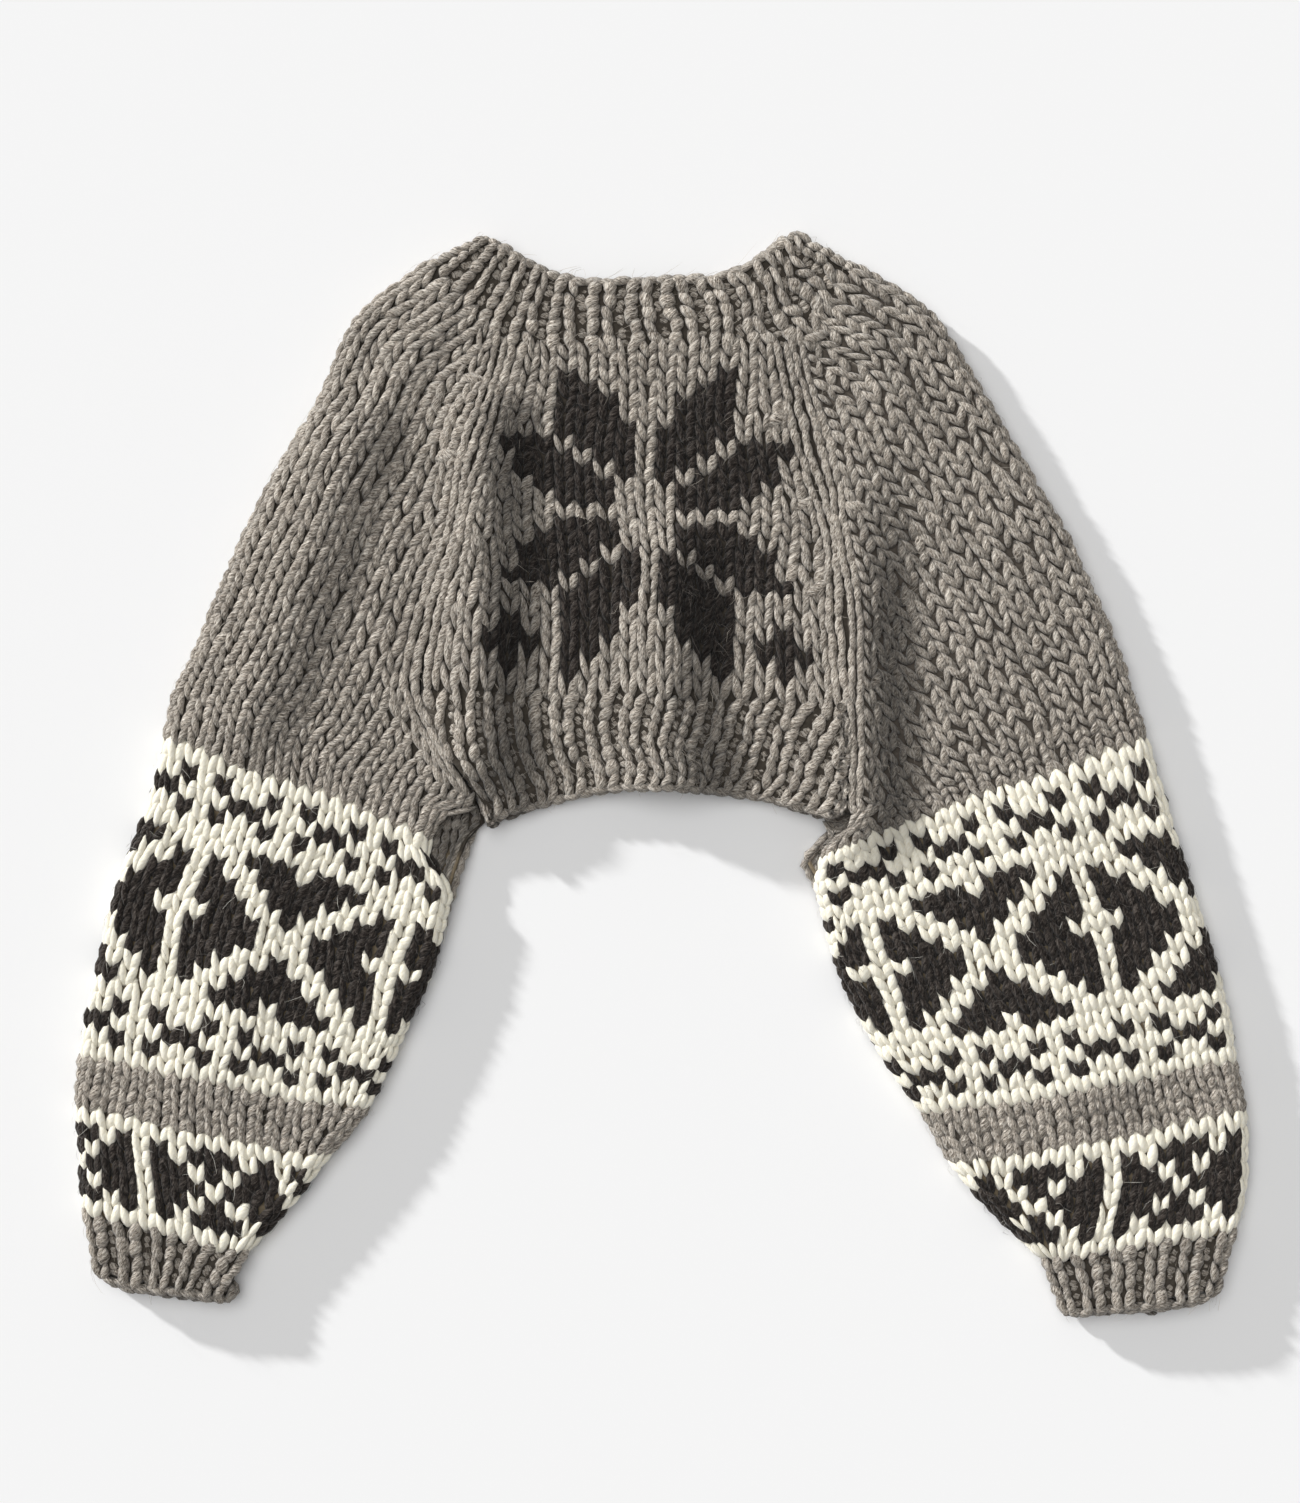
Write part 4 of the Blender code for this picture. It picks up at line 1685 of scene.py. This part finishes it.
@dataclass(frozen=True)
class SleevePlan:
    """What makes one sleeve differ from the other.

    marks pairs a knitted row with the distance in plan rows that it lies at and a shift in
    millimetres; spines are the wales of the two bands' vertical lines.
    """

    name: str
    rows: tuple[tuple[float, ...], ...]
    marks: tuple[tuple[int, int, float], ...]
    spines: tuple[int, int]
    pull: float  # of the upper layer at the hem's corner, in millimetres
    style: LegStyle
    # the colour behind its plain knitting: the wool darkened with painted shade of the gaps between the
    # stitches
    painted_shade_ground: Colour


SLEEVES = (
    SleevePlan(
        name="sleeve_left",
        rows=LEFT_ROWS,
        marks=((0, 0, 0.0), (36, 8, 8.0), (56, 12, 0.0), (60, 13, 0.0), (67, 15, 0.0)),
        spines=(4, 4),
        pull=26.0,
        style=PLAIN,
        painted_shade_ground=(0.09, 0.077, 0.062),
    ),
    SleevePlan(
        name="sleeve_right",
        rows=RIGHT_ROWS,
        marks=((0, 0, 0.0), (36, 8, 6.0), (56, 13, 0.0), (60, 14, 0.0), (67, 16, 0.0)),
        spines=(6, 0),
        pull=14.0,
        style=SPLAYED,
        painted_shade_ground=(0.17, 0.145, 0.12),
    ),
)


class Sleeve(Garment):
    """A sleeve, knitted from the neck rib down, with its wales counted from the outer fold."""

    NARROWING = 12  # rows above the band over which the wales narrow to the band's
    PLAIN_UNDERARM = 6  # rows below the band's start where the under layer's inner edge is still grey
    SLANTED_STOP = 10  # rows above the band where the last wale is gained

    def __init__(self, plan: SleevePlan, knitter: Knitter) -> None:
        """Lays out the sleeve.

        Args:
            plan: its shape and its bands.
            knitter: what makes its stitches.
        """
        rows = Rows(plan.rows)
        super().__init__(plan.name, sleeve_surface(rows, plan.pull), knitter)
        self.plan = plan
        self.closed = rows.at[CLOSED_ROW]
        knitted = [mark[0] for mark in plan.marks]
        self.count = knitted[-1]
        self.first_band = knitted[1]
        marked = [rows.at[k] + shift for _, k, shift in plan.marks]
        self.edges = np.interp(np.arange(self.count + 1), knitted, marked)
        # The large band ends below the fourth cream row, and the small one starts with the fifth
        ends = (0, CREAM_ROWS[3] + 1, CREAM_ROWS[4], self.count - self.first_band)
        low, high, small_low, small_high = (self.edges[self.first_band + k] for k in ends)
        self.tints = GroundWithPaintedShade(((low, high), (small_low, small_high)), plan.painted_shade_ground)

    def pitch(self, row: float) -> float:
        """The width of a wale at a knitted row, in millimetres."""
        share = float(smooth((row - self.first_band + self.NARROWING) / self.NARROWING))
        return GAUGE.wale + (GAUGE.band_wale - GAUGE.wale) * share

    def lay(self) -> None:
        """Places every stitch of both layers."""
        for upper in (True, False):
            side = 1.0 if upper else -1.0
            wide = self.surface.width(self.edges, upper) - GAUGE.edge
            before = None
            for row in range(self.count):
                count = max(2, int(round((wide[row] + wide[row + 1]) / 2 / self.pitch(row + 0.5))))
                s = (self.edges[row], self.edges[row + 1])
                top = GAUGE.spots(wide[row], self.pitch(row), count) * side
                low = GAUGE.spots(wide[row + 1], self.pitch(row + 1), count) * side
                style = BAND if row >= self.first_band else self.plan.style
                for wale in range(count):
                    index = wale if upper else -1 - wale
                    wool = charted(row, index, self.first_band, *self.plan.spines)
                    if not upper and wale >= count - 2 and row < self.first_band + self.PLAIN_UNDERARM:
                        wool = Wool.GREY
                    self.stitch(style, s, (top[wale], top[wale + 1]), (low[wale], low[wale + 1]), wool, upper)
                ends = [(w * side, (w + GAUGE.edge) * side) for w in (wide[row], wide[row + 1])]
                wool = charted(row, count if upper else -1 - count, self.first_band, *self.plan.spines)
                if not upper and row < self.first_band + self.PLAIN_UNDERARM:
                    wool = Wool.GREY
                self.stitch(EDGE if row < self.first_band else BAND, s, *ends, wool, upper)
                gained = before is not None and count > before
                if gained and row < self.first_band - self.SLANTED_STOP and row % 3 == 1:
                    height = s[1] - s[0]
                    start = (s[0] - 0.7 * height, (wide[row] + 3.0) * side)
                    self.slanted(start, (s[0] + 0.7 * height, (wide[row] - 15.0) * side), upper)
                before = count
        self._inside()

    def _inside(self) -> None:
        """The inner face of the under layer, seen where the upper one is pulled back at the hem's corner."""
        wale, row, length, depth = 6.4, 8.5, 12.0, -9.6
        for k in range(5):
            s = np.arange(self.closed - 14.0, self.closed + 52.0, row) + 2.0 * (k % 2)
            ends = []
            for at in (s, s + length):
                u = 4.0 + wale * k - self.surface.width(at, False)
                ends.append(np.stack([at, u, np.full(len(at), depth)], axis=1))
            self.yarns.add(*ends, wide=3.4, thick=2.5, dive=(-1.4, -1.4), bow=0.5, kind=Strand.LEG.name)


class Panel(Garment):
    """The back or the front, with its wales counted from the middle."""

    MIDDLE_LINE = -10.0  # its x in the plan, in millimetres
    ROWS = 24
    STAR_CORNER = (2, -8)  # the row and the wale of the star's chart's first letter

    def __init__(self, name: str, is_back: bool, knitter: Knitter) -> None:
        """Lays out the panel.

        Args:
            name: its solid's name.
            is_back: whether it faces up.
            knitter: what makes its stitches.
        """
        super().__init__(name, panel_surface(is_back), knitter)
        self.is_back = is_back
        self.edges = np.linspace(0.0, self.surface.length, self.ROWS + 1)

    def middle(self, s: float) -> float:
        """Finds the middle line.

        Args:
            s: the distance down the panel.

        Returns:
            The line's distance from the left end there, in millimetres.
        """
        side = 1.0 if self.is_back else -1.0
        wide = float(self.surface.width(s, self.is_back))
        u = np.linspace(0.0, wide, 200) * side
        x = self.surface.place(np.full(200, s), u, 0.0)[:, 0] / MM + MIDDLE[0]
        return float(np.interp(self.MIDDLE_LINE, x, np.abs(u)))

    def wool(self, row: int, wale: int) -> Wool:
        """Finds the yarn of a stitch: the back carries the star.

        Args:
            row, wale: its row from the neck rib and its wale from the middle.

        Returns:
            The yarn.
        """
        line, across = row - self.STAR_CORNER[0], wale - self.STAR_CORNER[1]
        if self.is_back and 0 <= line < len(STAR) and 0 <= across < len(STAR[0]):
            return Wool(STAR[line][across])
        return Wool.GREY

    def lay(self) -> None:
        """Places every stitch: the wales, then the two lines along the raglans."""
        side = 1.0 if self.is_back else -1.0
        pitch, rim = GAUGE.wale, GAUGE.edge
        middles = [self.middle(s) for s in self.edges]
        wide = [float(self.surface.width(s, self.is_back)) for s in self.edges]
        before = None
        for row in range(self.ROWS):
            s = (self.edges[row], self.edges[row + 1])
            reach, tables = [], []
            for way in (-1.0, 1.0):
                sides = [middles[k] - rim if way < 0 else wide[k] - rim - middles[k] for k in (row, row + 1)]
                spans = [span - pitch / 2 for span in sides]
                count = int(round(sum(spans) / 2 / pitch))
                reach.append(count)
                tables.append([pitch / 2 + GAUGE.spots(span, pitch, count) for span in spans])
            for way, count, (top, low) in zip((-1.0, 1.0), reach, tables):
                for k in range(count):
                    corners = [
                        tuple(sorted(middles[row + j] + way * edge for edge in at[k : k + 2]))
                        for j, at in enumerate((top, low))
                    ]
                    wale = k + 1 if way > 0 else -1 - k
                    self._place(s, corners, side, self.wool(row, wale), PLAIN)
            corners = [(middles[row + j] - pitch / 2, middles[row + j] + pitch / 2) for j in (0, 1)]
            self._place(s, corners, side, self.wool(row, 0), PLAIN)
            self._place(s, [(0.0, rim), (0.0, rim)], side, Wool.GREY, EDGE)
            self._place(s, [(wide[row + j] - rim, wide[row + j]) for j in (0, 1)], side, Wool.GREY, EDGE)
            if before is not None:
                height = s[1] - s[0]
                for k, way in enumerate((-1.0, 1.0)):
                    if reach[k] > before[k]:
                        end = rim if way < 0 else wide[row] - rim
                        start = (s[0] - 0.6 * height, (end + way * 2.0) * side)
                        self.slanted(start, (s[0] + 0.7 * height, (end - way * 12.0) * side), self.is_back)
            before = reach

    def _place(self, s: Pair, corners: list[Pair], side: float, wool: Wool, style: LegStyle) -> None:
        """Adds a stitch with its corners given as distances from the left end."""
        top, low = (tuple(side * value for value in pair) for pair in corners)
        self.stitch(style, s, top, low, wool, self.is_back)


@dataclass(frozen=True)
class RibPlan:
    """A knit-one-purl-one rib: pairs of columns on each layer and rows, cast off at its lower end.

    fan pairs the share of the width that a column starts at with the share that it ends at.
    """

    name: str
    pairs: int
    rows: int
    fan: tuple[Pair, ...] = STRAIGHT_FAN
    over: float = 0.0  # how far the stitches reach past the ends of the cloth, in millimetres
    knit_share: float = 0.78  # of a pair of columns that the knit one shows


class Rib(Garment):
    """A rib: raised columns of long stitches with sunken purl ones between them."""

    SPARE = 4  # pairs of columns laid beyond each end, for the fan to bring in
    BUMPS = (0.2, 0.7)  # where in a row the purl bumps lie
    BUMP_DEPTH = -7.3  # millimetres
    CLOTH_TRIM = 2.5  # how far the shell stops short of the cast-off edge, in millimetres
    # The cast-off edge, in two rows: distance from the end, depth and half the width of the stitches
    CAST_OFF = ((-1.8, -4.4, 2.8), (-0.8, -7.0, 3.0))

    def __init__(self, plan: RibPlan, surface: Surface, knitter: Knitter) -> None:
        """Lays out the rib.

        Args:
            plan: its columns and rows.
            surface: its form.
            knitter: what makes its stitches.
        """
        super().__init__(plan.name, surface, knitter)
        self.plan = plan
        self.trim = self.CLOTH_TRIM

    def _spot(self, share: np.ndarray, s: float, upper: bool) -> tuple[np.ndarray, bool]:
        """Follows columns down the fan.

        Args:
            share: the shares of the width that they start at.
            s: the distance down the rib.
            upper: the layer.

        Returns:
            The columns' u there, and whether they are on the piece.
        """
        before, after = zip(*self.plan.fan)
        down = s / self.surface.length
        moved = share + down * (np.interp(share, before, after) - share)
        middle = float(moved.mean())
        wide = float(self.surface.width(s, upper)) * (1.0 if upper else -1.0)
        return np.clip(moved, 0.0, 1.0) * wide, -0.03 < middle < 1.03

    def lay(self) -> None:
        """Places the knit and purl columns of both layers and the cast-off edge."""
        plan = self.plan
        edges = np.linspace(-plan.over, self.surface.length + plan.over, plan.rows + 1)
        half = (1.0 - plan.knit_share) / 2
        for upper in (True, False):
            for s in zip(edges, edges[1:]):
                for k in range(-self.SPARE, plan.pairs + self.SPARE):
                    share = np.array((k + half, k + 1 - half)) / plan.pairs
                    (top, begun), (low, ended) = (self._spot(share, x, upper) for x in s)
                    if begun and ended:
                        self.stitch(RIB, s, tuple(top), tuple(low), Wool.GREY, upper)
                    for part in self.BUMPS:
                        at = s[0] + (s[1] - s[0]) * part
                        spot, inside = self._spot(np.array((k, k)) / plan.pairs, at, upper)
                        if inside:
                            self._bump(at, spot[0], 1.6 - 3.2 * part, upper)
            for back, depth, wide in self.CAST_OFF:
                self.chain(edges[-1] + back, 2 * plan.pairs, upper, depth, wide)

    def _bump(self, s: float, u: float, bow: float, upper: bool) -> None:
        """Adds a purl bump, lying across its column.

        Args:
            s, u: the place of its middle.
            bow: how far it bends down the piece, in millimetres.
            upper: its layer.
        """
        ends = [np.array([(s + 0.9 * way, u + 3.9 * way, self.BUMP_DEPTH)]) for way in (-1.0, 1.0)]
        self.yarns.add(*ends, wide=2.9, thick=2.6, dive=(1.8, 1.8), bow=bow, kind=Strand.stitch(upper))


@dataclass(frozen=True)
class Studio:
    """The pale floor, the soft light and the camera straight above."""

    view_height: float = 1.022  # metres of the picture's height, at the cloth
    centre: Pair = (-0.0082, 0.0131)
    camera_height: float = 2.4
    cloth_height: float = 0.015
    sensor: float = 36.0  # millimetres
    floor_size: float = 60.0
    floor: float = 0.93
    fill: float = 0.22

    def build(self) -> None:
        """Makes the floor, the lights and the camera."""
        scene = bpy.context.scene
        scene.view_settings.view_transform = "Standard"
        mesh = bpy.data.meshes.new("studio_floor")
        work = bmesh.new()
        bmesh.ops.create_grid(work, x_segments=1, y_segments=1, size=self.floor_size / 2)
        work.to_mesh(mesh)
        work.free()
        floor = bpy.data.objects.new("studio_floor", mesh)
        scene.collection.objects.link(floor)
        material = bpy.data.materials.new("studio_floor")
        material.use_nodes = True
        tree = material.node_tree
        colour = (self.floor, self.floor, self.floor, 1.0)
        plain = {"Base Color": colour, "Roughness": 0.9, "Specular IOR Level": 0.1}
        Nodes(tree).feed(tree.nodes["Principled BSDF"], plain)
        mesh.materials.append(material)
        floor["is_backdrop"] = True

        self._sun("window_light", strength=3.4, azimuth=143.0, elevation=16.4, angle=3.0)
        self._sun("overhead_softbox", strength=1.5, azimuth=140.0, elevation=74.0, angle=50.0)
        world = bpy.data.worlds.new("studio_fill")
        world.use_nodes = True
        background = world.node_tree.nodes["Background"]
        Nodes(world.node_tree).feed(background, {"Color": (1.0, 1.0, 1.0, 1.0), "Strength": self.fill})
        scene.world = world

        data = bpy.data.cameras.new("overhead")
        data.sensor_width = self.sensor
        data.lens = self.sensor * (self.camera_height - self.cloth_height) / self.view_height
        data.clip_end = 50.0
        camera = bpy.data.objects.new("overhead", data)
        camera.location = (*self.centre, self.camera_height)
        scene.collection.objects.link(camera)
        scene.camera = camera

    @staticmethod
    def _sun(name: str, strength: float, azimuth: float, elevation: float, angle: float) -> None:
        """Adds a distant light.

        Args:
            name: its name.
            strength: its strength.
            azimuth, elevation: where it stands, in degrees from +X and above the floor.
            angle: how wide it looks, in degrees.
        """
        sun = bpy.data.lights.new(name, "SUN")
        sun.energy = strength
        sun.angle = math.radians(angle)
        lamp = bpy.data.objects.new(name, sun)
        turn, rise = math.radians(azimuth), math.radians(elevation)
        way = Vector((math.cos(turn) * math.cos(rise), math.sin(turn) * math.cos(rise), math.sin(rise)))
        lamp.rotation_mode = "QUATERNION"
        lamp.rotation_quaternion = way.to_track_quat("Z", "Y")
        bpy.context.scene.collection.objects.link(lamp)


def main() -> None:
    """Builds the studio and the garment, piece by piece, and measures how large it all is."""
    logging.basicConfig(level=logging.INFO, format="%(name)s: %(message)s")
    Studio().build()
    knitter = Knitter(Materials(), seed=7)
    for plan, area in zip(SLEEVES, (0.250, 0.282)):
        sleeve = Sleeve(plan, knitter)
        sleeve.lay()
        sleeve.finish(flat=(0.53, 0.71), rests_on=[], area=area)
    for name, is_back in (("front_panel", False), ("back_panel", True)):
        panel = Panel(name, is_back, knitter)
        panel.lay()
        panel.finish(flat=(0.30, 0.24), rests_on=["front_panel"] if is_back else [], area=0.060)
    ribs = (
        (RibPlan("neck_rib", 13, 5, NECK_FAN), neck_surface(), (0.62, 0.05)),
        (RibPlan("hem_rib", 13, 7, HEM_FAN), hem_surface(), (0.57, 0.09)),
        (RibPlan("cuff_left", 5, 4, CUFF_FAN, over=3.5), cuff_surface(Rows(LEFT_CUFF)), (0.24, 0.034)),
        (RibPlan("cuff_right", 6, 4, over=3.5), cuff_surface(Rows(RIGHT_CUFF)), (0.27, 0.037)),
    )
    for plan, surface, flat in ribs:
        rib = Rib(plan, surface, knitter)
        rib.lay()
        rib.finish(flat=flat, rests_on=[])
    boxes = {"cad": CAD_BOX, "visual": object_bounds()}
    sizes = {title: [list(corner) for corner in box] for title, box in boxes.items()}


if __name__ == "__main__":
    main()
